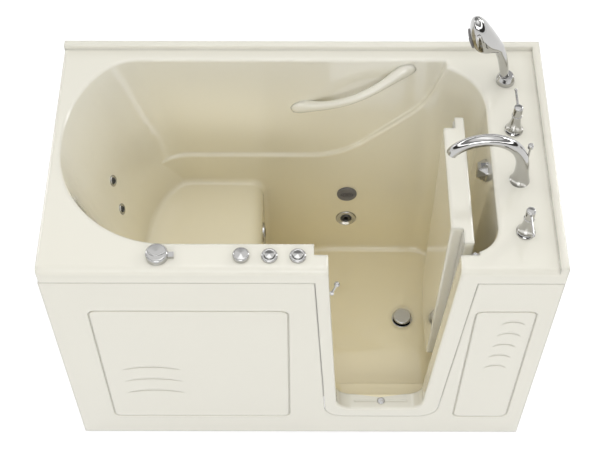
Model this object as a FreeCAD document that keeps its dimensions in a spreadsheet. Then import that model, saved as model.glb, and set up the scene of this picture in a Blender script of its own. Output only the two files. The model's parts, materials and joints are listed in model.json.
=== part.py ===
"""Walk-in jetted bathtub, built as named sub-parts from one sheet of sizes.

Millimetres. Origin on the floor under the middle of the tub, X to the right, Y to the back, Z up.
The inward-opening door is shown open, as at rest.
"""
import FreeCAD
import Part
import Sketcher
import math
import os

Vector = FreeCAD.Vector

SIZE_ROWS = (
    # Overall
    ("tub_length", "1346"),
    ("tub_depth", "762"),
    ("deck_height", "950"),
    ("wall", "8"),
    ("skirt_drop", "55.5"),
    ("curb_rise", "16"),
    ("curb_width", "21"),
    ("curb_round", "4"),
    ("front_round", "20"),
    ("end_round", "7"),
    ("rim_round", "8"),
    ("free_gap", "0.4"),
    ("running_fit", "0.05"),
    ("overcut", "40"),
    # Upper bowl
    ("rim_left_margin", "24"),
    ("rim_back_margin", "59"),
    ("rim_front_margin", "87"),
    ("rim_axis_y", "20"),
    ("rim_back_sweep", "188"),
    ("rim_front_sweep", "299"),
    ("seat_left_inset", "179"),
    ("seat_back_inset", "38"),
    ("seat_front_inset", "16"),
    ("seat_back_sweep", "160"),
    ("seat_front_sweep", "200"),
    # Ledge that sweeps up to the right
    ("ledge_rise", "119"),
    ("ledge_bend_margin", "556"),
    ("ledge_mid_margin", "312"),
    ("ledge_mid_drop", "167"),
    ("ledge_top_margin", "263"),
    ("ledge_bend_round", "240"),
    ("ledge_round", "8"),
    ("ledge_crease", "5"),
    # Seat and footwell
    ("floor_height", "90"),
    ("seat_height", "437"),
    ("seat_length", "553"),
    ("seat_roll", "45"),
    ("well_back_margin", "75"),
    ("well_back_draft", "58"),
    ("well_right_margin", "166"),
    ("well_right_draft", "30"),
    ("well_corner", "158"),
    ("well_corner_draft", "38"),
    ("well_left_margin", "150"),
    ("seat_corner", "190"),
    ("hinge_corner", "85"),
    ("hinge_corner_step", "8"),
    ("basin_round", "18"),
    # Doorway
    ("door_end_margin", "269"),
    ("door_swing_room", "426"),
    ("doorway_taper", "82"),
    ("sill_height", "165"),
    ("doorway_round", "50"),
    ("doorway_edge_round", "7"),
    ("lap_left", "36"),
    ("lap_right", "49"),
    ("lap_bottom", "32"),
    ("lap_round", "60"),
    ("jamb_depth", "51"),
    ("jamb_round", "5"),
    ("surround_bottom", "47"),
    ("corner_depth", "165"),
    # Door
    ("door_gap", "3"),
    ("door_hinge_gap", "7"),
    ("door_top_drop", "4"),
    ("seal_thick", "4"),
    ("seal_width", "14"),
    ("flange_thick", "26"),
    ("plug_thick", "32"),
    ("door_round", "6"),
    # Hinges
    ("hinge_out", "3"),
    ("hinge_proud", "5.5"),
    ("barrel_radius", "5"),
    ("hinge_pin_radius", "2.5"),
    ("hinge_height", "90"),
    ("hinge_leaf_thick", "3"),
    ("hinge_leaf_reach", "75"),
    ("hinge_top_drop", "140"),
    ("hinge_low_rise", "180"),
    # Latch on the left jamb
    ("latch_drop", "125"),
    ("latch_setback", "13"),
    ("latch_pin_radius", "3.5"),
    ("latch_hub_radius", "6"),
    ("latch_hub_length", "7"),
    ("latch_stand_off", "1.5"),
    ("latch_rod_radius", "3"),
    ("latch_reach", "44"),
    ("latch_lean", "12"),
    ("latch_ball_radius", "7.5"),
    # Sill cap
    ("sill_cap_radius", "11"),
    ("sill_cap_dome", "4"),
    ("sill_gutter_half", "80"),
    ("sill_gutter_width", "7"),
    ("sill_gutter_depth", "1.5"),
    # Apron and panels
    ("sheet_thick", "4"),
    ("toe_gap", "6"),
    ("seam_gap", "1.5"),
    ("panel_gap", "3"),
    ("panel_lip", "12"),
    ("lip_thick", "3"),
    ("panel_low", "115"),
    ("panel_high", "752"),
    ("panel_round", "22"),
    ("panel_edge_round", "2.5"),
    ("panel_left_margin", "106"),
    ("panel_door_gap", "65"),
    ("panel_right_span", "165"),
    ("panel_right_margin", "46"),
    ("rib_rise", "2.5"),
    ("rib_width", "9"),
    ("rib_left_margin", "246"),
    ("rib_left_span", "172"),
    ("rib_left_sag", "17"),
    ("rib_left_high", "415"),
    ("rib_left_step", "72"),
    ("rib_right_margin", "103"),
    ("rib_right_span", "62"),
    ("rib_right_sag", "14"),
    ("rib_right_high", "682"),
    ("rib_right_step", "62"),
    # Steel frame and feet
    ("tube_size", "30"),
    ("tube_wall", "2"),
    ("foot_height", "40"),
    ("foot_pad_radius", "24"),
    ("foot_pad_thick", "10"),
    ("foot_stem_radius", "6"),
    ("foot_nut_radius", "11"),
    ("foot_nut_thick", "9"),
    ("post_seat_margin", "256"),
    ("beam_seat_left_margin", "273"),
    ("beam_seat_right_margin", "493"),
    ("beam_well_left_gap", "80"),
    ("beam_well_right_margin", "423"),
    ("pad_y", "150"),
    ("pad_half", "14"),
    # Deck controls
    ("control_setback", "46"),
    ("diverter_door_gap", "398"),
    ("air_door_gap", "185"),
    ("pump_button_door_gap", "113"),
    ("aux_button_door_gap", "41"),
    ("diverter_radius", "29"),
    ("diverter_rise", "19"),
    ("diverter_tab_reach", "43"),
    ("diverter_tab_width", "15"),
    ("diverter_tab_rise", "9"),
    ("control_radius", "21.5"),
    ("control_rise", "14"),
    ("control_round", "6"),
    ("stem_radius", "6"),
    ("stem_rise", "9"),
    ("control_shank", "14"),
    ("control_body_radius", "20"),
    ("control_body_depth", "62"),
    ("button_radius", "13"),
    ("button_rise", "13"),
    ("button_depth", "16"),
    ("button_travel", "4"),
    ("bezel_rise", "10"),
    # Filler: valves, spout and their pipes
    ("filler_setback", "98"),
    ("hot_y", "73"),
    ("spout_y", "93"),
    ("cold_front_margin", "122"),
    ("bell_radius", "25"),
    ("bell_foot", "5"),
    ("bell_neck", "11.5"),
    ("bell_rise", "60"),
    ("bell_collar", "66"),
    ("cap_radius", "12.5"),
    ("cap_rise", "32"),
    ("cap_round", "5"),
    ("lever_radius", "3.4"),
    ("lever_tip_radius", "4.6"),
    ("lever_reach", "68"),
    ("lever_lift", "21"),
    ("valve_shank", "9"),
    ("valve_block", "36"),
    ("valve_block_drop", "62"),
    ("tail_radius", "10.5"),
    ("tail_drop", "90"),
    ("cross_radius", "10"),
    ("cross_drop", "30"),
    ("spout_base_radius", "27"),
    ("spout_neck_radius", "19"),
    ("spout_tip_radius", "15"),
    ("spout_rise", "184"),
    ("spout_reach", "190"),
    ("spout_tip_rise", "118"),
    ("spout_bore", "10"),
    ("spout_bore_depth", "8"),
    ("lift_stem_radius", "2.5"),
    ("lift_stem_height", "24"),
    ("lift_knob_radius", "7.5"),
    ("lift_knob_height", "12"),
    ("lift_stem_sink", "16"),
    ("lift_offset", "8"),
    # Hand shower
    ("shower_setback", "106"),
    ("shower_back_margin", "134"),
    ("shower_tilt", "21"),
    ("holder_radius", "26"),
    ("holder_rise", "26"),
    ("holder_shoulder", "19"),
    ("holder_tail_radius", "10"),
    ("holder_tail_drop", "60"),
    ("handle_radius", "12"),
    ("handle_sink", "14"),
    ("handle_length", "108"),
    ("head_half_width", "36"),
    ("head_half_thick", "31"),
    ("head_length", "150"),
    ("spray_radius", "27"),
    ("spray_thick", "5"),
    ("spray_pocket", "4"),
    ("spray_tab_reach", "34"),
    ("spray_tab_width", "9"),
    ("shower_hose_radius", "8"),
    ("shower_hose_drop", "120"),
    # Jets and suction
    ("jet_shift", "9"),
    ("jet_drop", "183"),
    ("suction_shift", "10"),
    ("suction_drop", "59"),
    ("seat_jet_back_margin", "209"),
    ("seat_jet_drop", "139"),
    ("back_jet_high_y", "98"),
    ("back_jet_high", "677"),
    ("back_jet_low_y", "51"),
    ("back_jet_low", "601"),
    ("jet_radius", "33"),
    ("jet_hole", "20"),
    ("back_jet_radius", "17"),
    ("back_jet_hole", "11"),
    ("jet_face_thick", "6"),
    ("jet_ball_share", "0.56"),
    ("jet_mouth_share", "0.24"),
    ("jet_body_length", "38"),
    ("suction_radius", "31"),
    ("suction_thick", "7"),
    ("suction_slot", "3"),
    ("suction_wall", "3"),
    # Overflow and drain
    ("overflow_y", "4"),
    ("overflow_drop", "80"),
    ("overflow_knob_radius", "31"),
    ("overflow_knob_rise", "26"),
    ("overflow_foot_reach", "34"),
    ("overflow_face_reach", "23"),
    ("overflow_stem_radius", "5"),
    ("overflow_hole", "17"),
    ("drain_margin", "347"),
    ("drain_y", "21"),
    ("drain_flange_radius", "33"),
    ("drain_flange_thick", "3"),
    ("drain_dish_radius", "46"),
    ("drain_dish_depth", "4"),
    ("drain_tube_radius", "25"),
    ("drain_bore", "20"),
    ("stopper_radius", "28.5"),
    ("stopper_thick", "6"),
    ("stopper_lift", "10"),
    ("stopper_stem_radius", "4"),
    ("stopper_stem_length", "34"),
    ("shoe_radius", "32"),
    ("waste_radius", "20"),
    ("waste_height", "54"),
    ("waste_tee_margin", "113"),
    ("outlet_radius", "24"),
    ("outlet_low", "8"),
    # Pump and pipes
    ("pump_margin", "388"),
    ("pump_axis_height", "162"),
    ("volute_radius", "78"),
    ("volute_half", "34"),
    ("motor_radius", "66"),
    ("motor_length", "190"),
    ("pump_foot_half", "70"),
    ("port_radius", "24"),
    ("port_length", "22"),
    ("discharge_neck", "20"),
    ("manifold_half", "36"),
    ("manifold_rise", "64"),
    ("suction_pipe_radius", "22"),
    ("suction_offset", "70"),
    ("port_offset", "20"),
    ("jet_pipe_radius", "12"),
    ("jet_run_margin", "35"),
    ("pipe_bend", "32"),
    ("hose_radius", "9"),
    ("hose_out", "46"),
    # Grab bar
    ("bar_low_margin", "665"),
    ("bar_low_height", "764"),
    ("bar_high_margin", "387"),
    ("bar_high_height", "905"),
    ("bar_stand_off", "46"),
    ("bar_half_width", "13"),
    ("bar_half_thick", "12"),
    ("bar_pad_radius", "24"),
    ("bar_pad_thick", "4"),
)

doc = FreeCAD.newDocument("walk_in_jetted_tub")
sheet = doc.addObject("Spreadsheet::Sheet", "Sizes")
for row, (alias, text) in enumerate(SIZE_ROWS, start=1):
    sheet.set(f"A{row}", alias)
    sheet.set(f"B{row}", text)
    sheet.setAlias(f"B{row}", alias)
doc.recompute()

PARTS = []


def mm(alias):
    """Return one size of the sheet as a number."""
    return float(sheet.get(alias))


class Size:
    """A value that carries the sheet expression it comes from."""

    def __init__(self, value, text):
        self.value = value
        self.text = text

    @staticmethod
    def of(other):
        """Return any number or Size as a Size."""
        if isinstance(other, Size):
            return other
        return Size(float(other), str(other))

    def __add__(self, other):
        other = Size.of(other)
        return Size(self.value + other.value, f"({self.text} + {other.text})")

    def __sub__(self, other):
        other = Size.of(other)
        return Size(self.value - other.value, f"({self.text} - {other.text})")

    def __mul__(self, other):
        other = Size.of(other)
        return Size(self.value * other.value, f"({self.text} * {other.text})")

    def __truediv__(self, other):
        other = Size.of(other)
        return Size(self.value / other.value, f"({self.text} / {other.text})")

    def __neg__(self):
        return Size(-self.value, f"(0 - {self.text})")


def cell(alias):
    """Return one size of the sheet as a bound Size."""
    return Size(mm(alias), f"Sizes.{alias}")


ZERO = Size(0.0, "0")


def bind(thing, name, size):
    """Tie one property of an object to the sheet."""
    thing.setExpression(name, size.text)


def move(thing, x, y, z):
    """Tie the position of an object to the sheet."""
    bind(thing, "Placement.Base.x", x)
    bind(thing, "Placement.Base.y", y)
    bind(thing, "Placement.Base.z", z)


def finish(thing, label):
    """Name an object as a sub-part to hand over."""
    thing.Label = label
    PARTS.append(thing)
    return thing


def feature(name, shape):
    """Hold a shape made in code as an object of the document."""
    thing = doc.addObject("Part::Feature", name)
    thing.Shape = shape
    return thing


def box(name, corner, spans):
    """Make a bound box from its low corner and its three spans."""
    thing = doc.addObject("Part::Box", name)
    for prop, span in zip(("Length", "Width", "Height"), spans):
        bind(thing, prop, span)
    move(thing, *corner)
    return thing


def rod(name, start, radius, length, direction=Vector(0, 0, 1)):
    """Make a bound cylinder from its start along a direction."""
    thing = doc.addObject("Part::Cylinder", name)
    bind(thing, "Radius", radius)
    bind(thing, "Height", length)
    thing.Placement.Rotation = FreeCAD.Rotation(Vector(0, 0, 1), direction)
    move(thing, *start)
    return thing


def fuse(name, things):
    """Join objects into one."""
    joined = doc.addObject("Part::MultiFuse", name)
    joined.Shapes = things
    return joined


def cut(name, base, tool):
    """Take one object out of another."""
    result = doc.addObject("Part::Cut", name)
    result.Base = base
    result.Tool = tool
    return result


def group(name, things):
    """Keep several separate solids as one sub-part."""
    result = doc.addObject("Part::Compound", name)
    result.Links = things
    return result


def corner_arc(before, corner, after, radius):
    """Return the two touching points and the middle of a rounded corner."""
    back = (before - corner).normalize()
    ahead = (after - corner).normalize()
    half = back.getAngle(ahead) / 2
    reach = radius / math.tan(half)
    middle = (back + ahead).normalize()
    centre = corner + middle * (radius / math.sin(half))
    return corner + back * reach, corner + ahead * reach, centre - middle * radius, centre


def profile_sketch(body, name, points):
    """Draw a closed profile of (r, z, round) points, every size bound to the sheet."""
    sketch = body.newObject("Sketcher::SketchObject", name)
    plane = [item for item in body.Origin.OriginFeatures if item.Role == "XZ_Plane"][0]
    sketch.AttachmentSupport = [(plane, "")]
    sketch.MapMode = "FlatFace"
    spots = [Vector(r.value, z.value, 0) for r, z, _ in points]
    count = len(points)
    ends = []
    for place, (spot, (_, _, rounding)) in enumerate(zip(spots, points)):
        if rounding is None:
            ends.append((spot, spot, None, None))
        else:
            ends.append(corner_arc(spots[place - 1], spot, spots[(place + 1) % count], rounding.value))
    lines = []
    for place in range(count):
        start = ends[place][1]
        stop = ends[(place + 1) % count][0]
        lines.append(sketch.addGeometry(Part.LineSegment(start, stop)))

    def pin(geometry, end, r, z):
        for kind, size in (("DistanceX", r), ("DistanceY", z)):
            spot = sketch.addConstraint(Sketcher.Constraint(kind, -1, 1, geometry, end, size.value))
            if size is not ZERO:
                bind(sketch, f"Constraints[{spot}]", size)

    for place, (r, z, rounding) in enumerate(points):
        before = lines[place - 1]
        after = lines[place]
        if rounding is None:
            sketch.addConstraint(Sketcher.Constraint("Coincident", before, 2, after, 1))
            pin(after, 1, r, z)
            continue
        first, last, middle, _ = ends[place]
        arc = sketch.addGeometry(Part.Arc(first, middle, last))
        start, stop = (1, 2)
        if sketch.Geometry[arc].StartPoint.distanceToPoint(first) > mm("running_fit"):
            start, stop = (2, 1)
        sketch.addConstraint(Sketcher.Constraint("Tangent", before, 2, arc, start))
        sketch.addConstraint(Sketcher.Constraint("Tangent", arc, stop, after, 1))
        mark = sketch.addGeometry(Part.Point(Vector(r.value, z.value, 0)), True)
        sketch.addConstraint(Sketcher.Constraint("PointOnObject", mark, 1, before))
        sketch.addConstraint(Sketcher.Constraint("PointOnObject", mark, 1, after))
        pin(mark, 1, r, z)
        spot = sketch.addConstraint(Sketcher.Constraint("Radius", arc, rounding.value))
        bind(sketch, f"Constraints[{spot}]", rounding)
    return sketch


def turned(name, points, at, direction=Vector(0, 0, 1)):
    """Turn a bound profile about its own axis and stand it at a place."""
    body = doc.addObject("PartDesign::Body", name)
    full = [point if len(point) > 2 else (*point, None) for point in points]
    sketch = profile_sketch(body, f"{name}_profile", full)
    turn = body.newObject("PartDesign::Revolution", f"{name}_turn")
    turn.Profile = sketch
    turn.ReferenceAxis = (sketch, ["V_Axis"])
    turn.Angle = 360
    body.Placement.Rotation = FreeCAD.Rotation(Vector(0, 0, 1), direction)
    if isinstance(at, Vector):
        body.Placement.Base = at
    else:
        move(body, *at)
    return body


# Outlines and solids that the shell, the apron and the door share

HALF_LENGTH = mm("tub_length") / 2
HALF_DEPTH = mm("tub_depth") / 2
DECK = mm("deck_height")
OVER = mm("overcut")
FRONT = -HALF_DEPTH
REBATE_FACE = FRONT + mm("jamb_depth")
WELL_FRONT = FRONT + mm("rim_front_margin")
SEAT_X = mm("seat_length") - HALF_LENGTH
LEDGE = mm("seat_height") + mm("ledge_rise")
LEDGE_BEND = HALF_LENGTH - mm("ledge_bend_margin")
LEDGE_MID = HALF_LENGTH - mm("ledge_mid_margin")
LEDGE_TOP = HALF_LENGTH - mm("ledge_top_margin")
DOOR_WIDE = mm("tub_depth") - mm("door_swing_room")
DOOR_NARROW = DOOR_WIDE - mm("doorway_taper")
DOOR_X = HALF_LENGTH - mm("door_end_margin") - DOOR_WIDE / 2
DOOR_LEFT = DOOR_X - DOOR_WIDE / 2 - mm("lap_left")
HOT_Y = mm("hot_y")
COLD_Y = FRONT + mm("cold_front_margin")
SHOWER_Y = HALF_DEPTH - mm("shower_back_margin")
half_length = cell("tub_length") / 2
half_depth = cell("tub_depth") / 2
deck = cell("deck_height")
seat_front = cell("seat_length") - half_length
door_wide = cell("tub_depth") - cell("door_swing_room")
door_x = half_length - cell("door_end_margin") - door_wide / 2
door_left = door_x - door_wide / 2 - cell("lap_left")


def rounded_wire(corners, place):
    """Return a closed wire through (u, v, radius) corners; place lifts (u, v) into space."""
    spots = [Vector(u, v, 0) for u, v, _ in corners]
    count = len(corners)
    ends = []
    for index, (spot, (_, _, radius)) in enumerate(zip(spots, corners)):
        if radius:
            ends.append(corner_arc(spots[index - 1], spot, spots[(index + 1) % count], radius))
        else:
            ends.append((spot, spot, None, None))
    edges = []
    for index, (first, last, middle, _) in enumerate(ends):
        if middle is not None:
            edges.append(Part.Arc(place(first), place(middle), place(last)).toShape())
        following = ends[(index + 1) % count][0]
        edges.append(Part.LineSegment(place(last), place(following)).toShape())
    return Part.Wire(edges)


def level(z):
    """Return a placer for outlines drawn flat at a height."""
    return lambda spot: Vector(spot.x, spot.y, z)


def upright(y):
    """Return a placer for outlines drawn in a plane that faces the front."""
    return lambda spot: Vector(spot.x, y, spot.y)


def front_prism(corners, near, far):
    """Extrude an outline drawn in the front plane from near to far."""
    return Part.Face(rounded_wire(corners, upright(near))).extrude(Vector(0, far - near, 0))


def quarter(centre, end_x, end_y):
    """Return a quarter ellipse from straight above or below a centre to its left."""
    side = Vector(end_x, centre.y, centre.z)
    tip = Vector(centre.x, end_y, centre.z)
    long_end, short_end = (tip, side)
    if (side - centre).Length > (tip - centre).Length:
        long_end, short_end = (side, tip)
    ellipse = Part.Ellipse(long_end, short_end, centre)
    turns = sorted((ellipse.parameter(side), ellipse.parameter(tip)))
    if turns[1] - turns[0] > math.pi:
        turns = [turns[1], turns[0] + 2 * math.pi]
    return Part.ArcOfEllipse(ellipse, *turns).toShape()


def bowl_wire(z, left, back, front, back_sweep, front_sweep, right):
    """Return a basin outline with a round left end."""
    axis = mm("rim_axis_y")
    back_centre = Vector(left + back_sweep, axis, z)
    front_centre = Vector(left + front_sweep, axis, z)
    corners = (
        Vector(front_centre.x, front, z),
        Vector(right, front, z),
        Vector(right, back, z),
        Vector(back_centre.x, back, z),
    )
    edges = [Part.LineSegment(*pair).toShape() for pair in zip(corners, corners[1:])]
    edges.append(quarter(back_centre, left, back))
    edges.append(quarter(front_centre, left, front))
    return Part.Wire(Part.__sortEdges__(edges))


def bowl(grow):
    """Return the space above the seat line, grown outwards by a wall."""
    left = -HALF_LENGTH + mm("rim_left_margin") - grow
    back = HALF_DEPTH - mm("rim_back_margin") + grow
    front = WELL_FRONT - grow
    right = HALF_LENGTH + OVER + grow
    rim = (left, back, front, mm("rim_back_sweep") + grow, mm("rim_front_sweep") + grow, right)
    seat = (
        left + mm("seat_left_inset"),
        back - mm("seat_back_inset"),
        front + mm("seat_front_inset"),
        mm("seat_back_sweep") + grow,
        mm("seat_front_sweep") + grow,
        right,
    )
    levels = (
        (mm("floor_height") - OVER - grow, seat),
        (mm("seat_height"), seat),
        (DECK, rim),
        (DECK + OVER, rim),
    )
    return Part.makeLoft([bowl_wire(z, *outline) for z, outline in levels], True, True)


def ledge_space(grow):
    """Return the space above the ledge, whose line sweeps up to the right."""
    low = LEDGE - grow
    far = HALF_LENGTH + OVER
    top = DECK + OVER
    mid = DECK - mm("ledge_mid_drop")
    rise = (LEDGE_TOP - LEDGE_MID) / mm("ledge_mid_drop")
    line = Vector(LEDGE_MID - LEDGE_BEND, mid - LEDGE, 0)
    bend = LEDGE_BEND + grow * math.tan(math.atan2(line.y, line.x) / 2)
    steep = math.atan2(1, rise)
    gentle = math.atan2(line.y, line.x)
    turn = (steep + gentle) / 2
    offset = grow / math.cos((steep - gentle) / 2)
    mid_x = LEDGE_MID + offset * math.sin(turn)
    mid_z = mid - offset * math.cos(turn)
    radius = mm("ledge_bend_round")
    corners = (
        (-far, low, 0),
        (bend, low, radius + grow),
        (mid_x, mid_z, radius + grow),
        (mid_x + rise * (top - mid_z), top, 0),
        (-far, top, 0),
    )
    return front_prism(corners, -HALF_DEPTH - OVER, HALF_DEPTH + OVER)


def well_back(z):
    """Return where the lower back wall stands at a height."""
    share = (DECK - z) / (DECK - mm("floor_height"))
    return HALF_DEPTH - mm("well_back_margin") - share * mm("well_back_draft")


def well_right(z):
    """Return where the right wall stands at a height."""
    share = (DECK - z) / (DECK - mm("floor_height"))
    return HALF_LENGTH - mm("well_right_margin") - share * mm("well_right_draft")


def bowl_back(z):
    """Return where the upper back wall stands at a height."""
    share = (DECK - z) / (DECK - mm("seat_height"))
    return HALF_DEPTH - mm("rim_back_margin") - share * mm("seat_back_inset")


def well_space(grow):
    """Return the drafted space of seat and footwell."""
    def wire(z):
        share = (DECK - z) / (DECK - mm("floor_height"))
        left = mm("well_left_margin") - HALF_LENGTH - grow
        front = REBATE_FACE + mm("hinge_corner_step") - grow
        right = well_right(z) + grow
        back = well_back(z) + grow
        corner = mm("well_corner") - share * mm("well_corner_draft") + grow
        corners = (
            (left, front, 0),
            (right, front, mm("hinge_corner") + grow),
            (right, back, corner),
            (left, back, mm("seat_corner") + grow),
        )
        return rounded_wire(corners, level(z))

    low = mm("floor_height") - OVER - grow
    sides = Part.makeLoft([wire(low), wire(DECK + OVER)], True, True)
    far = HALF_LENGTH + OVER
    top = DECK + OVER
    step = SEAT_X - grow
    corners = (
        (far, mm("floor_height") - grow, 0),
        (far, top, 0),
        (-far, top, 0),
        (-far, mm("seat_height") - grow, 0),
        (step, mm("seat_height") - grow, mm("seat_roll") - grow),
        (step, mm("floor_height") - grow, 0),
    )
    return sides.common(front_prism(corners, -HALF_DEPTH - OVER, HALF_DEPTH + OVER))


def half_door(z):
    """Return half the width of the doorway at a height."""
    share = (z - mm("sill_height")) / (DECK - mm("sill_height"))
    wide = DOOR_WIDE
    narrow = DOOR_NARROW
    return (narrow + share * (wide - narrow)) / 2


def door_outline(left, right, bottom, radius, top):
    """Return a tapered doorway outline grown by its three laps."""
    middle = DOOR_X
    low = mm("sill_height") - bottom
    return (
        (middle - half_door(top) - left, top, 0),
        (middle - half_door(low) - left, low, radius),
        (middle + half_door(low) + right, low, radius),
        (middle + half_door(top) + right, top, 0),
    )


def lap_outline(grow, top):
    """Return the outline of the rebate that the door flange closes on."""
    laps = [mm(name) + grow for name in ("lap_left", "lap_right", "lap_bottom")]
    return door_outline(*laps, mm("lap_round") + grow, top)


def surround_outline(grow, top):
    """Return the outline of the strip that frames the doorway on the front."""
    laps = [mm(name) + grow for name in ("lap_left", "lap_right", "surround_bottom")]
    return door_outline(*laps, mm("lap_round") + grow, top)


def basin(grow):
    """Return the whole inside of the basin, with the corner the hinges stand in."""
    low = well_space(grow)
    space = bowl(grow).common(ledge_space(grow).fuse(low))
    sink = mm("sill_height") - mm("lap_bottom") - grow
    near = FRONT - OVER
    corner = Part.makeBox(
        HALF_LENGTH, mm("corner_depth"), DECK, Vector(DOOR_X, near, sink))
    return space.fuse(corner.common(low)).removeSplitter()


def middle_of(edge):
    """Return the middle of an edge."""
    return edge.valueAt((edge.FirstParameter + edge.LastParameter) / 2)


def flat_at(edge, z):
    """Return whether an edge lies level at a height."""
    span = edge.BoundBox
    slack = mm("free_gap")
    return abs(span.ZMin - z) < slack and abs(span.ZMax - z) < slack


def softened(space):
    """Round the seat, the floor and the ledge of the basin."""
    step = SEAT_X
    slack = mm("free_gap")

    def is_bottom(edge):
        span = edge.BoundBox
        spot = middle_of(edge)
        if flat_at(edge, mm("floor_height")):
            return True
        if span.XMin > step + slack or spot.z > mm("seat_height") + slack:
            return False
        across = span.YMax - span.YMin > mm("tub_depth") / 2 and span.XMax - span.XMin < slack
        return not across and span.ZMax < mm("seat_height") + slack

    def is_ledge(edge, wall_at):
        span = edge.BoundBox
        spot = middle_of(edge)
        level_enough = span.ZMin > LEDGE - slack and span.ZMax < DECK + slack
        if not level_enough or spot.y < mm("rim_axis_y") or flat_at(edge, DECK):
            return False
        if span.XMax - span.XMin < slack or span.XMax > LEDGE_TOP + slack:
            return False
        return abs(spot.y - wall_at(spot.z)) < mm("running_fit")

    bottoms = [edge for edge in space.Edges if is_bottom(edge)]
    space = space.makeFillet(mm("basin_round"), bottoms)
    for wall_at, name in ((well_back, "ledge_round"), (bowl_back, "ledge_crease")):
        space = space.makeFillet(mm(name), [edge for edge in space.Edges if is_ledge(edge, wall_at)])
    return space


def below_deck(shape):
    """Keep what lies under the top of the deck."""
    wide = mm("tub_length") * 2
    return shape.common(Part.makeBox(wide, wide, DECK, Vector(-wide / 2, -wide / 2, 0)))


class Seat:
    """A place on a wall of the basin with the direction that points into the tub."""

    def __init__(self, spot, inward):
        self.spot = spot
        self.inward = inward.normalize()

    def along(self, distance):
        """Return a point this far into the tub, or behind the wall when negative."""
        return self.spot + self.inward * distance

    def rod(self, radius, start, length):
        """Return a plain round bar on the axis of this seat."""
        return Part.makeCylinder(radius, length, self.along(start), self.inward)


WELL_RISE = DECK - mm("floor_height")
BACK_LEAN = mm("well_back_draft") / WELL_RISE
RIGHT_LEAN = mm("well_right_draft") / WELL_RISE
BAR_LEAN = mm("seat_back_inset") / (DECK - mm("seat_height"))


def back_seat(x, z):
    """Return a seat on the back wall of the footwell."""
    return Seat(Vector(x, well_back(z), z), Vector(0, -1, BACK_LEAN))


def rest_seat(space, y, z):
    """Return a seat on the sloping backrest, found on its surface."""
    line = Part.LineSegment(Vector(0, y, z), Vector(-HALF_LENGTH, y, z)).toShape()
    inside = line.common(space)
    spot = min((vertex.Point for vertex in inside.Vertexes), key=lambda point: point.x)
    dot = Part.Vertex(spot)
    face = min(space.Faces, key=lambda item: item.distToShape(dot)[0])
    normal = face.normalAt(*face.Surface.parameter(spot))
    return Seat(spot, normal if normal.x > 0 else -normal)


raw_basin = basin(0)
WELL_MIDDLE = (SEAT_X + HALF_LENGTH - mm("well_right_margin") - mm("well_corner") / 2) / 2
foot_jet = back_seat(WELL_MIDDLE - mm("jet_shift"), mm("seat_height") - mm("jet_drop"))
suction = back_seat(WELL_MIDDLE - mm("suction_shift"), mm("seat_height") - mm("suction_drop"))
seat_jet = Seat(
    Vector(SEAT_X, HALF_DEPTH - mm("seat_jet_back_margin"), mm("seat_height") - mm("seat_jet_drop")),
    Vector(1, 0, 0))
high_jet = rest_seat(raw_basin, mm("back_jet_high_y"), mm("back_jet_high"))
low_jet = rest_seat(raw_basin, mm("back_jet_low_y"), mm("back_jet_low"))
overflow_height = DECK - mm("overflow_drop")
overflow = Seat(
    Vector(well_right(overflow_height), -mm("overflow_y"), overflow_height), Vector(-1, 0, RIGHT_LEAN))

CONTROL_Y = FRONT + mm("control_setback")
FILLER_X = HALF_LENGTH - mm("filler_setback")
SHOWER_X = HALF_LENGTH - mm("shower_setback")
DRAIN = Vector(
    HALF_LENGTH - mm("drain_margin"), -mm("drain_y"), mm("floor_height") - mm("drain_dish_depth"))
SILL_Y = (FRONT + REBATE_FACE) / 2 + mm("door_gap")
SILL_CAP = Vector(DOOR_X + mm("door_hinge_gap"), SILL_Y, mm("sill_height"))


# The moulded shell

def shell_holes():
    """Return every hole that a fitting passes through."""
    gap = mm("free_gap")
    behind = -mm("wall") * 2
    deep = mm("wall") * 3
    holes = []
    for seat, name in ((foot_jet, "jet_hole"), (seat_jet, "jet_hole"), (suction, "jet_hole"),
                       (high_jet, "back_jet_hole"), (low_jet, "back_jet_hole"), (overflow, "overflow_hole")):
        holes.append(seat.rod(mm(name), behind, deep))
    deck_spots = [(DOOR_LEFT - mm(f"{name}_door_gap"), CONTROL_Y, mm("control_shank") + gap)
                  for name in ("diverter", "air", "pump_button", "aux_button")]
    deck_spots += [(FILLER_X, y, mm("valve_shank") + gap) for y in (HOT_Y, -mm("spout_y"), COLD_Y)]
    deck_spots.append((SHOWER_X, SHOWER_Y, mm("holder_tail_radius") + gap))
    for x, y, radius in deck_spots:
        holes.append(Part.makeCylinder(radius, deep, Vector(x, y, DECK + behind)))
    floor_start = DRAIN - Vector(0, 0, deep / 2)
    holes.append(Part.makeCylinder(mm("drain_tube_radius") + gap, deep, floor_start))
    narrow = mm("drain_flange_radius") + mm("drain_dish_depth")
    wide = mm("drain_dish_radius") * 2 - narrow
    holes.append(Part.makeCone(narrow, wide, mm("drain_dish_depth") * 2, DRAIN))
    holes.append(Part.makeCylinder(
        mm("sill_cap_radius") + gap, mm("sill_cap_dome"), SILL_CAP - Vector(0, 0, mm("sill_cap_dome"))))
    gutter = Part.makeBox(
        mm("sill_gutter_half") * 2, mm("sill_gutter_width"), mm("sill_gutter_depth") * 2,
        SILL_CAP - Vector(mm("sill_gutter_half"), mm("sill_gutter_width") / 2, mm("sill_gutter_depth")))
    holes.append(gutter)
    holes.append(Part.makeCylinder(mm("latch_pin_radius"), deep, LATCH + Vector(behind, 0, 0), Vector(1, 0, 0)))
    return holes


LATCH_Z = DECK - mm("latch_drop")
LATCH = Vector(
    DOOR_X - half_door(LATCH_Z), FRONT + mm("latch_setback"), LATCH_Z)


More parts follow.
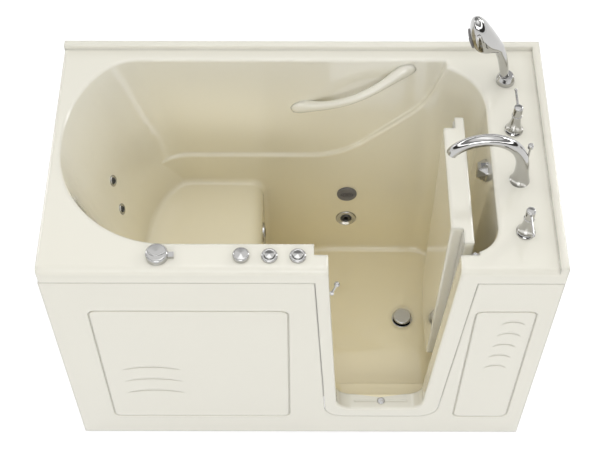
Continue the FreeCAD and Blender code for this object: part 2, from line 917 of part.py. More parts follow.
def shell_shape():
    """Return the deck, skirt, basin and doorway as one moulded sheet."""
    wall = mm("wall")
    length = mm("tub_length")
    depth = mm("tub_depth")
    low = DECK - mm("skirt_drop")
    slab = Part.makeBox(length, depth, wall, Vector(-HALF_LENGTH, -HALF_DEPTH, DECK - wall))
    skirt = Part.makeBox(length, depth, mm("skirt_drop"), Vector(-HALF_LENGTH, -HALF_DEPTH, low))
    inner = Part.makeBox(
        length - wall * 2, depth - wall * 2, mm("skirt_drop"),
        Vector(-HALF_LENGTH + wall, -HALF_DEPTH + wall, low - wall))
    width = mm("curb_width")
    rise = mm("curb_rise") + wall
    curbs = (
        Part.makeBox(length, width, rise, Vector(-HALF_LENGTH, HALF_DEPTH - width, DECK - wall)),
        Part.makeBox(width, depth, rise, Vector(HALF_LENGTH - width, -HALF_DEPTH, DECK - wall)),
    )
    strip = front_prism(surround_outline(0, DECK), FRONT, FRONT + wall)
    outer_rebate = front_prism(lap_outline(wall, DECK), REBATE_FACE - wall, WELL_FRONT + OVER)
    outer_door = front_prism(
        door_outline(wall, wall, wall, mm("doorway_round") + wall, DECK), FRONT, REBATE_FACE)
    outside = below_deck(basin(wall))
    solid = slab.multiFuse([skirt.cut(inner), *curbs, strip, outer_rebate, outer_door, outside])
    rebate = front_prism(lap_outline(0, DECK + OVER), REBATE_FACE, WELL_FRONT + OVER)
    doorway = front_prism(
        door_outline(0, 0, 0, mm("doorway_round"), DECK + OVER), FRONT - OVER, REBATE_FACE + OVER)
    space = softened(raw_basin).multiFuse([rebate, doorway])
    shape = solid.cut(space).removeSplitter().Solids[0]
    return rounded_shell(shape).cut(shell_holes())


def rounded_shell(shape):
    """Round the rim, the outer edges, the curb and the doorway."""
    slack = mm("free_gap")
    curb_top = DECK + mm("curb_rise")
    lap_edge = DOOR_X - half_door(DECK) - mm("lap_left")

    def near(value, target):
        return abs(value - target) < slack

    def is_rim(edge):
        span = edge.BoundBox
        inside = span.XMin > -HALF_LENGTH + slack and span.XMax < HALF_LENGTH - mm("curb_width") - slack
        behind = span.YMin > REBATE_FACE + slack and span.YMax < HALF_DEPTH - mm("curb_width") - slack
        jamb = near(span.XMin, lap_edge) and near(span.XMax, lap_edge)
        return flat_at(edge, DECK) and inside and behind and not jamb

    def is_front(edge):
        span = edge.BoundBox
        return flat_at(edge, DECK) and near(span.YMax, FRONT)

    def is_end(edge):
        span = edge.BoundBox
        return flat_at(edge, DECK) and near(span.XMax, -HALF_LENGTH)

    def is_doorway(edge):
        span = edge.BoundBox
        reach = DOOR_WIDE / 2 + slack
        middle = DOOR_X
        between = span.XMin > middle - reach and span.XMax < middle + reach
        low_enough = span.ZMin > mm("sill_height") - slack and span.ZMax < DECK
        return near(span.YMin, FRONT) and near(span.YMax, FRONT) and between and low_enough

    def is_curb(edge):
        return flat_at(edge, curb_top)

    for pick, name in ((is_rim, "rim_round"), (is_front, "front_round"), (is_end, "end_round"),
                       (is_doorway, "doorway_edge_round"), (is_curb, "curb_round")):
        edges = [edge for edge in shape.Edges if pick(edge)]
        shape = shape.makeFillet(mm(name), edges)
    return shape.Solids[0]


finish(feature("shell", shell_shape()), "tub_shell")


# Apron, access panels and end panel

PANEL_RIGHT = HALF_LENGTH - mm("panel_right_margin")
PANELS = (
    ("left", mm("panel_left_margin") - HALF_LENGTH, DOOR_LEFT - mm("panel_door_gap")),
    ("right", PANEL_RIGHT - mm("panel_right_span"), PANEL_RIGHT),
)


def panel_outline(left, right, grow):
    """Return the rounded outline of an access panel."""
    low = mm("panel_low") - grow
    high = mm("panel_high") + grow
    radius = mm("panel_round") + grow
    return (
        (left - grow, low, radius),
        (right + grow, low, radius),
        (right + grow, high, radius),
        (left - grow, high, radius),
    )


def apron_shape():
    """Return the front sheet with its doorway notch, panel openings and their lips."""
    thick = mm("sheet_thick")
    top = DECK - mm("skirt_drop") - mm("seam_gap")
    back = FRONT + thick
    shape = Part.makeBox(
        mm("tub_length"), thick, top - mm("toe_gap"), Vector(-HALF_LENGTH, FRONT, mm("toe_gap")))
    notch = front_prism(surround_outline(mm("seam_gap"), DECK), FRONT - OVER, FRONT + OVER)
    shape = shape.cut(notch)
    for _, left, right in PANELS:
        lip = front_prism(panel_outline(left, right, mm("panel_lip")), back, back + mm("lip_thick"))
        shape = shape.fuse(lip)
    for _, left, right in PANELS:
        opening = front_prism(panel_outline(left, right, 0), FRONT - OVER, back)
        through = front_prism(panel_outline(left, right, -mm("panel_lip")), FRONT - OVER, FRONT + OVER)
        shape = shape.cut(opening).cut(through)
    slack = mm("free_gap")

    def is_mouth(edge):
        span = edge.BoundBox
        level_enough = span.ZMin > mm("panel_low") - slack and span.ZMax < mm("panel_high") + slack
        around = any(span.XMin > left - slack and span.XMax < right + slack for _, left, right in PANELS)
        return level_enough and around and span.YMax < FRONT + slack

    return shape.makeFillet(mm("panel_edge_round"), [edge for edge in shape.Edges if is_mouth(edge)])


def crescent(middle_x, z, span, sag):
    """Return a shallow crescent groove across a panel."""
    width = mm("rib_width")
    left = Vector(middle_x - span / 2, FRONT, z)
    right = Vector(middle_x + span / 2, FRONT, z)
    arcs = [Part.Arc(left, Vector(middle_x, FRONT, z + rise), right).toShape() for rise in (sag, sag + width)]
    return Part.Face(Part.Wire(Part.__sortEdges__(arcs))).extrude(Vector(0, mm("rib_rise") / 2, 0))


def panel_shape(left, right, grooves):
    """Return one lift-out panel with its crescent grooves."""
    shape = front_prism(panel_outline(left, right, -mm("panel_gap")), FRONT, FRONT + mm("sheet_thick"))
    slack = mm("free_gap")
    rims = [edge for edge in shape.Edges if edge.BoundBox.YMax < FRONT + slack]
    return shape.makeFillet(mm("panel_edge_round"), rims).cut(grooves)


left_grooves = [
    crescent(mm("rib_left_margin") - HALF_LENGTH, mm("rib_left_high") - mm("rib_left_step") * step,
             mm("rib_left_span"), mm("rib_left_sag"))
    for step in range(3)
]
right_grooves = [
    crescent(HALF_LENGTH - mm("rib_right_margin") - mm("rib_width") * step / 2,
             mm("rib_right_high") - mm("rib_right_step") * step, mm("rib_right_span"), mm("rib_right_sag"))
    for step in range(5)
]
finish(feature("apron", apron_shape()), "front_apron")
for (side, left, right), grooves in zip(PANELS, (left_grooves, right_grooves)):
    finish(feature(f"panel_{side}", panel_shape(left, right, grooves)), f"access_panel_{side}")

end_panel = box(
    "end_sheet",
    (-half_length, cell("sheet_thick") - half_depth, cell("toe_gap")),
    (cell("sheet_thick"), cell("tub_depth") - cell("sheet_thick"),
     deck - cell("skirt_drop") - cell("toe_gap")),
)
finish(end_panel, "end_panel")


# Steel frame, feet and floor pads

tube = cell("tube_size")
foot_top = cell("foot_height")
frame_top = foot_top + tube
sheet_inside = cell("sheet_thick")


def tube_pair(name, corner, spans):
    """Return a square tube and the hollow inside it, shorter by its two end walls."""
    skin = cell("tube_wall")
    outer = box(f"{name}_tube", corner, spans)
    inner_corner = [low + skin for low in corner]
    inner_spans = [span - skin * 2 for span in spans]
    hollow = box(f"{name}_hollow", inner_corner, inner_spans)
    return outer, hollow


frame_pairs = []
rail_length = cell("tub_length") - sheet_inside * 2
for name, y in (("front_rail", sheet_inside - half_depth), ("back_rail", half_depth - sheet_inside - tube)):
    frame_pairs.append(tube_pair(
        name, (sheet_inside - half_length, y, foot_top), (rail_length, tube, tube)))
seat_left_beam = cell("beam_seat_left_margin") - half_length
seat_right_beam = cell("beam_seat_right_margin") - half_length
well_left_beam = seat_front + cell("beam_well_left_gap")
well_right_beam = half_length - cell("beam_well_right_margin")
beam_low = sheet_inside - half_depth + tube
beam_length = cell("tub_depth") - sheet_inside * 2 - tube * 2
BEAMS = (
    ("left_beam", sheet_inside - half_length),
    ("seat_left_beam", seat_left_beam - tube / 2),
    ("seat_right_beam", seat_right_beam - tube / 2),
    ("well_left_beam", well_left_beam - tube / 2),
    ("well_right_beam", well_right_beam - tube / 2),
    ("right_beam", half_length - sheet_inside - tube),
)
for name, x in BEAMS:
    frame_pairs.append(tube_pair(name, (x, beam_low, foot_top), (tube, beam_length, tube)))
post_reach = cell("wall") + cell("free_gap")
post_rise = deck - cell("wall") - frame_top
for side, x in (("left", post_reach - half_length), ("right", half_length - post_reach - tube)):
    for end, y in (("front", post_reach - half_depth), ("back", half_depth - post_reach - tube)):
        frame_pairs.append(tube_pair(f"{side}_{end}_post", (x, y, frame_top), (tube, tube, post_rise)))
seat_rise = cell("seat_height") - cell("wall") - frame_top
seat_post_y = half_depth - cell("post_seat_margin")
for side, x in (("left", seat_left_beam), ("right", seat_right_beam)):
    for end, y in (("front", -seat_post_y), ("back", seat_post_y)):
        frame_pairs.append(tube_pair(
            f"seat_{side}_{end}_post", (x - tube / 2, y - tube / 2, frame_top), (tube, tube, seat_rise)))
frame = cut("frame", fuse("frame_tubes", [pair[0] for pair in frame_pairs]),
            fuse("frame_hollows", [pair[1] for pair in frame_pairs]))
finish(frame, "support_frame")

feet = []
foot_inset = sheet_inside + cell("foot_pad_radius") + cell("seam_gap")
for x in (foot_inset - half_length, well_left_beam, half_length - foot_inset):
    for y in (foot_inset - half_depth, half_depth - foot_inset):
        pad = cell("foot_pad_radius")
        stem = cell("foot_stem_radius")
        nut = cell("foot_nut_radius")
        nut_low = foot_top - cell("foot_nut_thick")
        profile = (
            (ZERO, ZERO),
            (pad, ZERO),
            (pad, cell("foot_pad_thick"), cell("foot_pad_thick") / 2),
            (stem, cell("foot_pad_thick")),
            (stem, nut_low),
            (nut, nut_low),
            (nut, foot_top),
            (ZERO, foot_top),
        )
        feet.append(turned(f"foot_{len(feet)}", profile, (x, y, ZERO)))
finish(group("feet", feet), "leveling_feet")

pads = []
pad_half = cell("pad_half")
for x in (well_left_beam, well_right_beam):
    for y in (-cell("pad_y"), cell("pad_y")):
        pads.append(box(
            f"pad_{len(pads)}", (x - pad_half, y - pad_half, frame_top),
            (pad_half * 2, pad_half * 2, cell("floor_height") - cell("wall") - frame_top)))
finish(group("pads", pads), "floor_pads")


# Door, seal and hinges, built shut and swung open to rest

FLANGE_RIGHT = DOOR_X + half_door(DECK) + mm("lap_right") - mm("door_hinge_gap")
FLANGE_FRONT = REBATE_FACE + mm("seal_thick")
FLANGE_BACK = FLANGE_FRONT + mm("flange_thick")
HINGE = Vector(FLANGE_RIGHT + mm("hinge_out"), FLANGE_BACK + mm("hinge_proud"), 0)
DOOR_TOP = DECK - mm("door_top_drop")


def opened(shape):
    """Swing a shape from shut to the open pose."""
    return shape.rotated(HINGE, Vector(0, 0, 1), -90)


def flange_outline(shrink):
    """Return the outline of the door flange, drawn in from its edge."""
    return door_outline(
        mm("lap_left") - mm("door_gap") - shrink,
        mm("lap_right") - mm("door_hinge_gap") - shrink,
        mm("lap_bottom") - mm("door_gap") - shrink,
        mm("lap_round") - mm("door_gap") - shrink,
        DOOR_TOP - shrink,
    )


def door_shape():
    """Return the door: a flange that seals on the jamb and a plug that fills the doorway."""
    flange = front_prism(flange_outline(0), FLANGE_FRONT, FLANGE_BACK)
    gap = mm("door_gap")
    plug_outline = door_outline(-gap, -gap, -gap, mm("doorway_round") - gap, DOOR_TOP)
    plug = front_prism(plug_outline, FLANGE_FRONT - mm("plug_thick"), FLANGE_FRONT)
    flange = flange.makeFillet(mm("door_round"), flat_edges(flange, FLANGE_BACK))
    plug = plug.makeFillet(mm("door_round"), flat_edges(plug, FLANGE_FRONT - mm("plug_thick")))
    return opened(flange.fuse(plug).removeSplitter())


def flat_edges(shape, y):
    """Return the edges that lie in a plane facing the front."""
    slack = mm("free_gap")
    return [edge for edge in shape.Edges
            if abs(edge.BoundBox.YMin - y) < slack and abs(edge.BoundBox.YMax - y) < slack]


def seal_shape():
    """Return the rubber strip under the flange, open at the top like the doorway."""
    near = REBATE_FACE + mm("free_gap")
    inset = mm("seal_width") / 2
    outer = front_prism(flange_outline(inset), near, FLANGE_FRONT)
    hole = door_outline(
        mm("door_gap"), mm("door_gap"), mm("door_gap"), mm("doorway_round"), DECK + OVER)
    return opened(outer.cut(front_prism(hole, near - OVER, FLANGE_FRONT + OVER)))


finish(feature("door", door_shape()), "door_panel")
finish(feature("seal", seal_shape()), "door_seal")

door_leaves = []
wall_leaves = []
hinge_pins = []
HINGE_LOWS = (DECK - mm("hinge_top_drop"), mm("sill_height") + mm("hinge_low_rise"))
for low in HINGE_LOWS:
    height = mm("hinge_height")
    third = height / 3
    gap = mm("free_gap")
    thick = mm("hinge_leaf_thick")
    barrel = mm("barrel_radius")
    bore = mm("hinge_pin_radius") + mm("running_fit")
    base = Vector(HINGE.x, HINGE.y, low)
    hole = Part.makeCylinder(bore, height, base)

    def knuckle(start, span):
        """Return one hinge knuckle without its bore."""
        return Part.makeCylinder(barrel, span, base + Vector(0, 0, start))

    edge_x = DOOR_X + half_door(low) + mm("lap_right") - mm("door_hinge_gap")
    reach = HINGE.x - edge_x + mm("hinge_leaf_reach")
    leaf = Part.makeBox(
        reach, thick, third - gap * 2, Vector(HINGE.x - reach, FLANGE_BACK, low + third + gap))
    leaf = leaf.fuse(knuckle(third + gap, third - gap * 2)).cut(hole)
    door_leaves.append(opened(leaf))
    plate_y = HINGE.y - thick / 2
    for start in (0, third * 2):
        plate = Part.makeBox(
            HALF_LENGTH - HINGE.x, thick, third, Vector(HINGE.x, plate_y, low + start)).common(raw_basin)
        wall_leaves.append(plate.fuse(knuckle(start, third)).cut(hole))
    hinge_pins.append(Part.makeCylinder(mm("hinge_pin_radius"), height, base))
finish(feature("leaves_on_door", Part.makeCompound(door_leaves)), "hinge_door_leaves")
finish(feature("leaves_on_wall", Part.makeCompound(wall_leaves)), "hinge_wall_leaves")
finish(feature("pins", Part.makeCompound(hinge_pins)), "hinge_pins")


# Latch lever on the left jamb and cap on the sill

latch_y = cell("latch_setback") - half_depth
latch_z = deck - cell("latch_drop")
latch_share = (latch_z - cell("sill_height")) / (deck - cell("sill_height"))
door_narrow = door_wide - cell("doorway_taper")
latch_x = door_x - (door_narrow + latch_share * cell("doorway_taper")) / 2
spindle_length = cell("wall") + cell("latch_stand_off") * 2 + cell("latch_hub_length")
spindle = rod("spindle", (latch_x - cell("wall"), latch_y, latch_z), cell("latch_pin_radius"),
              spindle_length, Vector(1, 0, 0))
finish(spindle, "latch_spindle")


def lever_shape():
    """Return the lever with its hub, leaning rod and ball."""
    hub_low = LATCH + Vector(mm("latch_stand_off"), 0, 0)
    hub = Part.makeCylinder(mm("latch_hub_radius"), mm("latch_hub_length"), hub_low, Vector(1, 0, 0))
    start = hub_low + Vector(mm("latch_hub_length") / 2, 0, 0)
    tip = start + Vector(mm("latch_lean"), 0, mm("latch_reach"))
    run = tip - start
    bar = Part.makeCylinder(mm("latch_rod_radius"), run.Length, start, run)
    ball = Part.makeSphere(mm("latch_ball_radius"), tip)
    hole = Part.makeCylinder(
        mm("latch_pin_radius") + mm("running_fit"), spindle_length.value * 2,
        LATCH - Vector(mm("wall"), 0, 0), Vector(1, 0, 0))
    return hub.multiFuse([bar, ball]).cut(hole).removeSplitter()


finish(feature("lever", lever_shape()), "latch_lever")

cap_low = SILL_CAP - Vector(0, 0, mm("sill_cap_dome"))
sill_cap = turned("cap", (
    (ZERO, ZERO),
    (cell("sill_cap_radius"), ZERO),
    (cell("sill_cap_radius"), cell("sill_cap_dome"), cell("sill_cap_dome") / 2),
    (ZERO, cell("sill_cap_dome") + cell("sill_gutter_depth") / 2),
), cap_low)
finish(sill_cap, "sill_drain_cap")


# Jets, suction and overflow

def jet_profiles(face, hole):
    """Return the profiles of a jet's ring, nozzle and body, the wall at height zero."""
    gap = cell("free_gap")
    fit = cell("running_fit")
    thick = cell("jet_face_thick")
    ball = face * cell("jet_ball_share")
    mouth = face * cell("jet_mouth_share")
    spigot = (ball + mouth) / 2
    deep = cell("jet_body_length")
    behind = -cell("wall") - gap
    ring = (
        (ball + gap, ZERO),
        (face, ZERO),
        (face, thick, thick / 2),
        (ball + gap, thick / 2),
    )
    nozzle = (
        (mouth, -deep / 2),
        (spigot, -deep / 2),
        (spigot, gap),
        (ball, gap),
        (ball, thick / 2, thick / 4),
        (spigot, thick + gap * 2, thick / 4),
        (mouth, thick / 2),
    )
    body = (
        (spigot + fit, -gap),
        (hole - gap, -gap),
        (hole - gap, behind),
        (hole + thick, behind),
        (hole + thick, behind - thick),
        (hole, behind - thick),
        (hole, behind - deep),
        (ZERO, behind - deep),
        (ZERO, -deep / 2 - thick),
        (spigot + fit, -deep / 2 - thick),
    )
    return ring, nozzle, body


JETS = (
    ("foot_jet", foot_jet, "jet_radius", "jet_hole"),
    ("seat_jet", seat_jet, "jet_radius", "jet_hole"),
    ("back_jet_high", high_jet, "back_jet_radius", "back_jet_hole"),
    ("back_jet_low", low_jet, "back_jet_radius", "back_jet_hole"),
)
basin_space = feature("basin_space", raw_basin)
rings = []
bodies = []
for name, seat, face_name, hole_name in JETS:
    ring, nozzle, body = jet_profiles(cell(face_name), cell(hole_name))
    face_ring = turned(f"{name}_ring", ring, seat.spot, seat.inward)
    if seat in (high_jet, low_jet):
        fitted = doc.addObject("Part::Common", f"{name}_fitted_ring")
        fitted.Base = face_ring
        fitted.Tool = basin_space
        face_ring = fitted
    rings.append(face_ring)
    bodies.append(turned(f"{name}_body", body, seat.spot, seat.inward))
    finish(turned(f"{name}_swivel", nozzle, seat.spot, seat.inward), f"{name}_nozzle")
finish(group("rings", rings), "jet_rings")
finish(group("bodies", bodies), "jet_bodies")

gap = cell("free_gap")
behind = -cell("wall") - gap
suction_hole = cell("jet_hole")
suction_deep = behind - cell("jet_body_length") - cell("suction_pipe_radius") * 2
suction_body = turned("suction_tube", (
    (ZERO, suction_deep),
    (suction_hole + cell("jet_face_thick"), suction_deep),
    (suction_hole + cell("jet_face_thick"), behind),
    (suction_hole - gap, behind),
    (suction_hole - gap, -gap),
    (suction_hole - cell("suction_wall"), -gap),
    (suction_hole - cell("suction_wall"), suction_deep / 2),
    (ZERO, suction_deep / 2),
), suction.spot, suction.inward)
SUCTION_TURN = suction.along(suction_deep.value + mm("suction_pipe_radius") + mm("tube_wall"))
suction_stub = mm("jet_hole") + mm("port_length")
suction_port = feature("suction_port", Part.makeCylinder(
    mm("suction_pipe_radius") + mm("tube_wall"), suction_stub, SUCTION_TURN, Vector(-1, 0, 0)))
finish(fuse("suction_elbow", [suction_body, suction_port]), "suction_fitting")
cover = turned("suction_disc", (
    (ZERO, ZERO),
    (cell("suction_radius"), ZERO),
    (cell("suction_radius"), cell("suction_thick"), cell("suction_thick") / 2),
    (ZERO, cell("suction_thick")),
), suction.spot, suction.inward)
slots = []
for step in range(-2, 3):
    share = abs(step) / 4
    length = cell("suction_radius") * (1.5 - share)
    slot = doc.addObject("Part::Box", f"slot_{step + 2}")
    bind(slot, "Length", length)
    bind(slot, "Width", cell("suction_slot"))
    bind(slot, "Height", cell("suction_thick") * 3)
    turn = FreeCAD.Rotation(Vector(0, 0, 1), suction.inward)
    shift = Vector(-length.value / 2, mm("suction_slot") * (step * 3 - 1) / 2, -mm("suction_thick"))
    slot.Placement = FreeCAD.Placement(suction.spot + turn.multVec(shift), turn)
    slots.append(slot)
finish(cut("suction_grille", cover, fuse("suction_slots", slots)), "suction_cover")

stem = cell("overflow_stem_radius")
overflow_deep = behind - cell("jet_body_length")
overflow_tube = turned("overflow_tube", (
    (ZERO, overflow_deep),
    (cell("outlet_radius"), overflow_deep),
    (cell("outlet_radius"), behind),
    (cell("overflow_hole") - gap, behind),
    (cell("overflow_hole") - gap, -gap),
    (stem, -gap),
    (stem, cell("overflow_knob_rise") / 2),
    (ZERO, cell("overflow_knob_rise") / 2),
), overflow.spot, overflow.inward)
WASTE_X = HALF_LENGTH - mm("waste_tee_margin")
OVERFLOW_LOW = overflow.spot.z - mm("outlet_radius") * 2
socket = feature("overflow_socket", Part.makeCylinder(
    mm("waste_radius"), mm("outlet_radius") * 2, Vector(WASTE_X, overflow.spot.y, OVERFLOW_LOW)))
finish(fuse("overflow_elbow", [overflow_tube, socket]), "overflow_body")
overflow_knob = turned("overflow_handle", (
    (stem + cell("running_fit"), gap),
    (cell("overflow_knob_radius"), gap),
    (cell("overflow_knob_radius"), cell("overflow_knob_rise"), cell("overflow_knob_rise") / 3),
    (ZERO, cell("overflow_knob_rise")),
    (ZERO, cell("overflow_knob_rise") / 2 + gap),
    (stem + cell("running_fit"), cell("overflow_knob_rise") / 2 + gap),
), overflow.spot, overflow.inward)


def facets_shape():
    """Return the six-sided block with triangular flanks that the overflow knob is trimmed to."""
    turn = FreeCAD.Rotation(Vector(0, 0, 1), overflow.inward)

    def ring(reach, height, start):
        spots = []
        for step in range(6):
            angle = math.radians(start + 60 * step)
            flat = Vector(reach * math.cos(angle), reach * math.sin(angle), height)
            spots.append(overflow.spot + turn.multVec(flat))
        return spots

    def face(*spots):
        return Part.Face(Part.makePolygon([*spots, spots[0]]))

    foot = ring(mm("overflow_foot_reach"), 0, 0)
    top = ring(mm("overflow_face_reach"), mm("overflow_knob_rise"), 30)
    faces = [face(*reversed(foot)), face(*top)]
    for index in range(6):
        after = (index + 1) % 6
        faces.append(face(foot[index], foot[after], top[index]))
        faces.append(face(foot[after], top[after], top[index]))
    return Part.Solid(Part.Shell(faces))


trimmed = doc.addObject("Part::Common", "overflow_turn")
trimmed.Base = overflow_knob
trimmed.Tool = feature("facets", facets_shape())
finish(trimmed, "overflow_knob")


# Drain, stopper and waste

drain_at = (
    half_length - cell("drain_margin"), -cell("drain_y"), cell("floor_height") - cell("drain_dish_depth"))
flange_thick = cell("drain_flange_thick")
tube_radius = cell("drain_tube_radius")
drain_flange = turned("drain_ring", (
    (cell("drain_bore"), -cell("wall") * 2),
    (tube_radius, -cell("wall") * 2),
    (tube_radius, ZERO),
    (cell("drain_flange_radius"), ZERO),
    (cell("drain_flange_radius"), flange_thick, flange_thick / 2),
    (cell("drain_bore"), flange_thick),
), drain_at)
guide = turned("drain_guide", (
    (cell("stopper_stem_radius") + cell("running_fit"), -cell("wall") * 2),
    (cell("stopper_stem_radius") * 2, -cell("wall") * 2),
    (cell("stopper_stem_radius") * 2, -cell("wall")),
    (cell("stopper_stem_radius") + cell("running_fit"), -cell("wall")),
), drain_at)
spokes = []
for step in range(3):
    spoke = doc.addObject("Part::Box", f"spoke_{step}")
    bind(spoke, "Length", tube_radius - cell("stopper_stem_radius") * 1.5 - gap)
    bind(spoke, "Width", cell("stopper_stem_radius"))
    bind(spoke, "Height", cell("wall"))
    spin = FreeCAD.Rotation(Vector(0, 0, 1), step * 120)
    shift = Vector(mm("stopper_stem_radius") * 1.5, -mm("stopper_stem_radius") / 2, -mm("wall") * 2)
    spoke.Placement = FreeCAD.Placement(DRAIN + spin.multVec(shift), spin)
    spokes.append(spoke)
finish(fuse("drain_grid", [drain_flange, guide, *spokes]), "drain_flange")
lift = flange_thick + cell("stopper_lift") + gap
stopper_top = lift + cell("stopper_thick")
stopper = turned("stopper", (
    (ZERO, lift - cell("stopper_stem_length")),
    (cell("stopper_stem_radius"), lift - cell("stopper_stem_length")),
    (cell("stopper_stem_radius"), lift),
    (cell("stopper_radius"), lift),
    (cell("stopper_radius"), stopper_top, cell("stopper_thick") / 2),
    (ZERO, stopper_top),
), drain_at)
finish(stopper, "drain_stopper")


WASTE_TOP = mm("waste_height") * 2


def shoe_shape():
    """Return the drain shoe, its pipe to the tee and the outlet that goes down from it."""
    top = mm("floor_height") - mm("wall")
    low = mm("waste_height") - mm("waste_radius")
    y = DRAIN.y
    cup = Part.makeCylinder(mm("shoe_radius"), top - low, Vector(DRAIN.x, y, low))
    run = Part.makeCylinder(
        mm("waste_radius"), WASTE_X - DRAIN.x, Vector(DRAIN.x, y, mm("waste_height")), Vector(1, 0, 0))
    skin = mm("tube_wall")
    spigot = Part.makeCylinder(
        mm("outlet_radius"), low - mm("outlet_low"), Vector(WASTE_X, y, mm("outlet_low")))
    tee = Part.makeCylinder(mm("outlet_radius") + skin, WASTE_TOP - low, Vector(WASTE_X, y, low))
    inner_run = Part.makeCylinder(
        mm("waste_radius") - skin, WASTE_X - DRAIN.x, Vector(DRAIN.x, y, mm("waste_height")), Vector(1, 0, 0))
    well = Part.makeCylinder(
        mm("drain_tube_radius") + mm("free_gap"), top - low, Vector(DRAIN.x, y, low + skin))
    inner_outlet = Part.makeCylinder(
        mm("outlet_radius") - skin, mm("waste_height"), Vector(WASTE_X, y, mm("outlet_low")))
    return cup.multiFuse([run, spigot, tee]).cut([inner_run, well, inner_outlet])


finish(feature("shoe", shoe_shape()), "drain_shoe")


def overflow_pipe_shape():
    """Return the pipe from the overflow down to the waste tee."""
    shift = overflow.spot.y - DRAIN.y
    start = Vector(WASTE_X, DRAIN.y, WASTE_TOP)
    middle = (WASTE_TOP + OVERFLOW_LOW) / 2
    path = (
        start,
        Vector(WASTE_X, DRAIN.y, middle - abs(shift)),
        Vector(WASTE_X, overflow.spot.y, middle + abs(shift)),
        Vector(WASTE_X, overflow.spot.y, OVERFLOW_LOW),
    )
    return pipe(path, mm("waste_radius"), mm("pipe_bend"))


def pipe(path, radius, bend):
    """Return a round pipe along straight runs joined by bends."""
    edges = []
    start = path[0]
    for before, corner, after in zip(path, path[1:], path[2:]):
        first, last, middle, _ = corner_arc(before, corner, after, bend)
        edges.append(Part.LineSegment(start, first).toShape())
        edges.append(Part.Arc(first, middle, last).toShape())
        start = last
    edges.append(Part.LineSegment(start, path[-1]).toShape())
    ring = Part.Wire(Part.Circle(path[0], path[1] - path[0], radius).toShape())
    return Part.Wire(edges).makePipeShell([ring], True, False)


finish(feature("overflow_fall", overflow_pipe_shape()), "overflow_pipe")


# Pump and its pipes

PUMP = Vector(mm("pump_margin") - HALF_LENGTH, 0, mm("pump_axis_height"))
DISCHARGE_TOP = PUMP.z + mm("volute_radius") + mm("discharge_neck")
FRAME_TOP = mm("foot_height") + mm("tube_size")


def volute_shape():
    """Return the wet end of the pump with its suction and discharge ports."""
    half = mm("volute_half")
    case = Part.makeCylinder(mm("volute_radius"), half * 2, PUMP - Vector(0, half, 0), Vector(0, 1, 0))
    inlet = Part.makeCylinder(
        mm("port_radius"), half + mm("port_length"), PUMP, Vector(0, 1, 0))
    outlet = Part.makeCylinder(mm("port_radius"), DISCHARGE_TOP - PUMP.z, PUMP)
    return case.multiFuse([inlet, outlet]).removeSplitter()


SADDLE_SHARE = 0.75


def motor_shape():
    """Return the motor with its cradle on the frame."""
    back = PUMP.y - mm("volute_half")
    barrel = Part.makeCylinder(
        mm("motor_radius"), mm("motor_length"), Vector(PUMP.x, back, PUMP.z), Vector(0, -1, 0))
    barrel = barrel.makeFillet(mm("door_round"), flat_edges(barrel, back - mm("motor_length")))
    foot = mm("pump_foot_half")
    plate_length = mm("beam_seat_right_margin") - mm("beam_seat_left_margin") + mm("tube_size")
    thick = mm("sheet_thick")
    plate_half = seat_post_y.value - mm("tube_size") / 2 - mm("free_gap")
    plate = Part.makeBox(
        plate_length, plate_half * 2, thick,
        Vector(seat_left_beam.value - mm("tube_size") / 2, -plate_half, FRAME_TOP))
    saddle_length = mm("motor_length") * SADDLE_SHARE
    saddle = Part.makeBox(
        foot, saddle_length, PUMP.z - FRAME_TOP,
        Vector(PUMP.x - foot / 2, back - saddle_length, FRAME_TOP))
    return barrel.multiFuse([plate, saddle]).removeSplitter()


finish(feature("volute", volute_shape()), "pump_volute")
finish(feature("motor", motor_shape()), "pump_motor")
manifold_half = cell("manifold_half")
manifold = box(
    "manifold_block",
    (cell("pump_margin") - half_length - manifold_half, -manifold_half,
     cell("pump_axis_height") + cell("volute_radius") + cell("discharge_neck")),
    (manifold_half * 2, manifold_half * 2, cell("manifold_rise")),
)
finish(manifold, "jet_manifold")
MANIFOLD_Z = DISCHARGE_TOP + mm("manifold_rise") / 2
FOOT_BACK = foot_jet.along(behind.value - mm("jet_body_length"))
SEAT_BACK = seat_jet.along(behind.value - mm("jet_body_length"))


def suction_pipe_shape():
    """Return the pipe from the suction fitting, along the back and down to the pump."""
    run_y = SUCTION_TURN.y
    fall_x = PUMP.x - mm("suction_offset")
    inlet = mm("volute_half") + mm("port_length")
    path = (
        SUCTION_TURN - Vector(suction_stub, 0, 0),
        Vector(fall_x, run_y, SUCTION_TURN.z),
        Vector(fall_x, run_y, PUMP.z),
        Vector(PUMP.x, inlet + mm("suction_offset"), PUMP.z),
        Vector(PUMP.x, inlet, PUMP.z),
    )
    return pipe(path, mm("suction_pipe_radius"), mm("pipe_bend"))


def foot_line_shape():
    """Return the pipe from the manifold to the back and along it to the footwell's jet."""
    run_y = HALF_DEPTH - mm("jet_run_margin")
    port_z = DISCHARGE_TOP + mm("jet_pipe_radius") + mm("tube_wall")
    start = Vector(PUMP.x - mm("port_offset"), mm("manifold_half"), port_z)
    reach = (run_y - FOOT_BACK.y) / -foot_jet.inward.y
    turn = FOOT_BACK - foot_jet.inward * reach
    path = (start, Vector(start.x, run_y, start.z), turn, FOOT_BACK)
    return pipe(path, mm("jet_pipe_radius"), mm("jet_pipe_radius") * 2)


finish(feature("suction_run", suction_pipe_shape()), "suction_pipe")
finish(feature("foot_line", foot_line_shape()), "foot_jet_pipe")


def bowed(start, leave, stop, arrive, section):
    """Sweep a section along a curve that starts and ends along two given pulls."""
    curve = Part.BezierCurve()
    curve.setPoles((start, start + leave, stop + arrive, stop))
    return Part.Wire(curve.toShape()).makePipeShell([section], True, True)


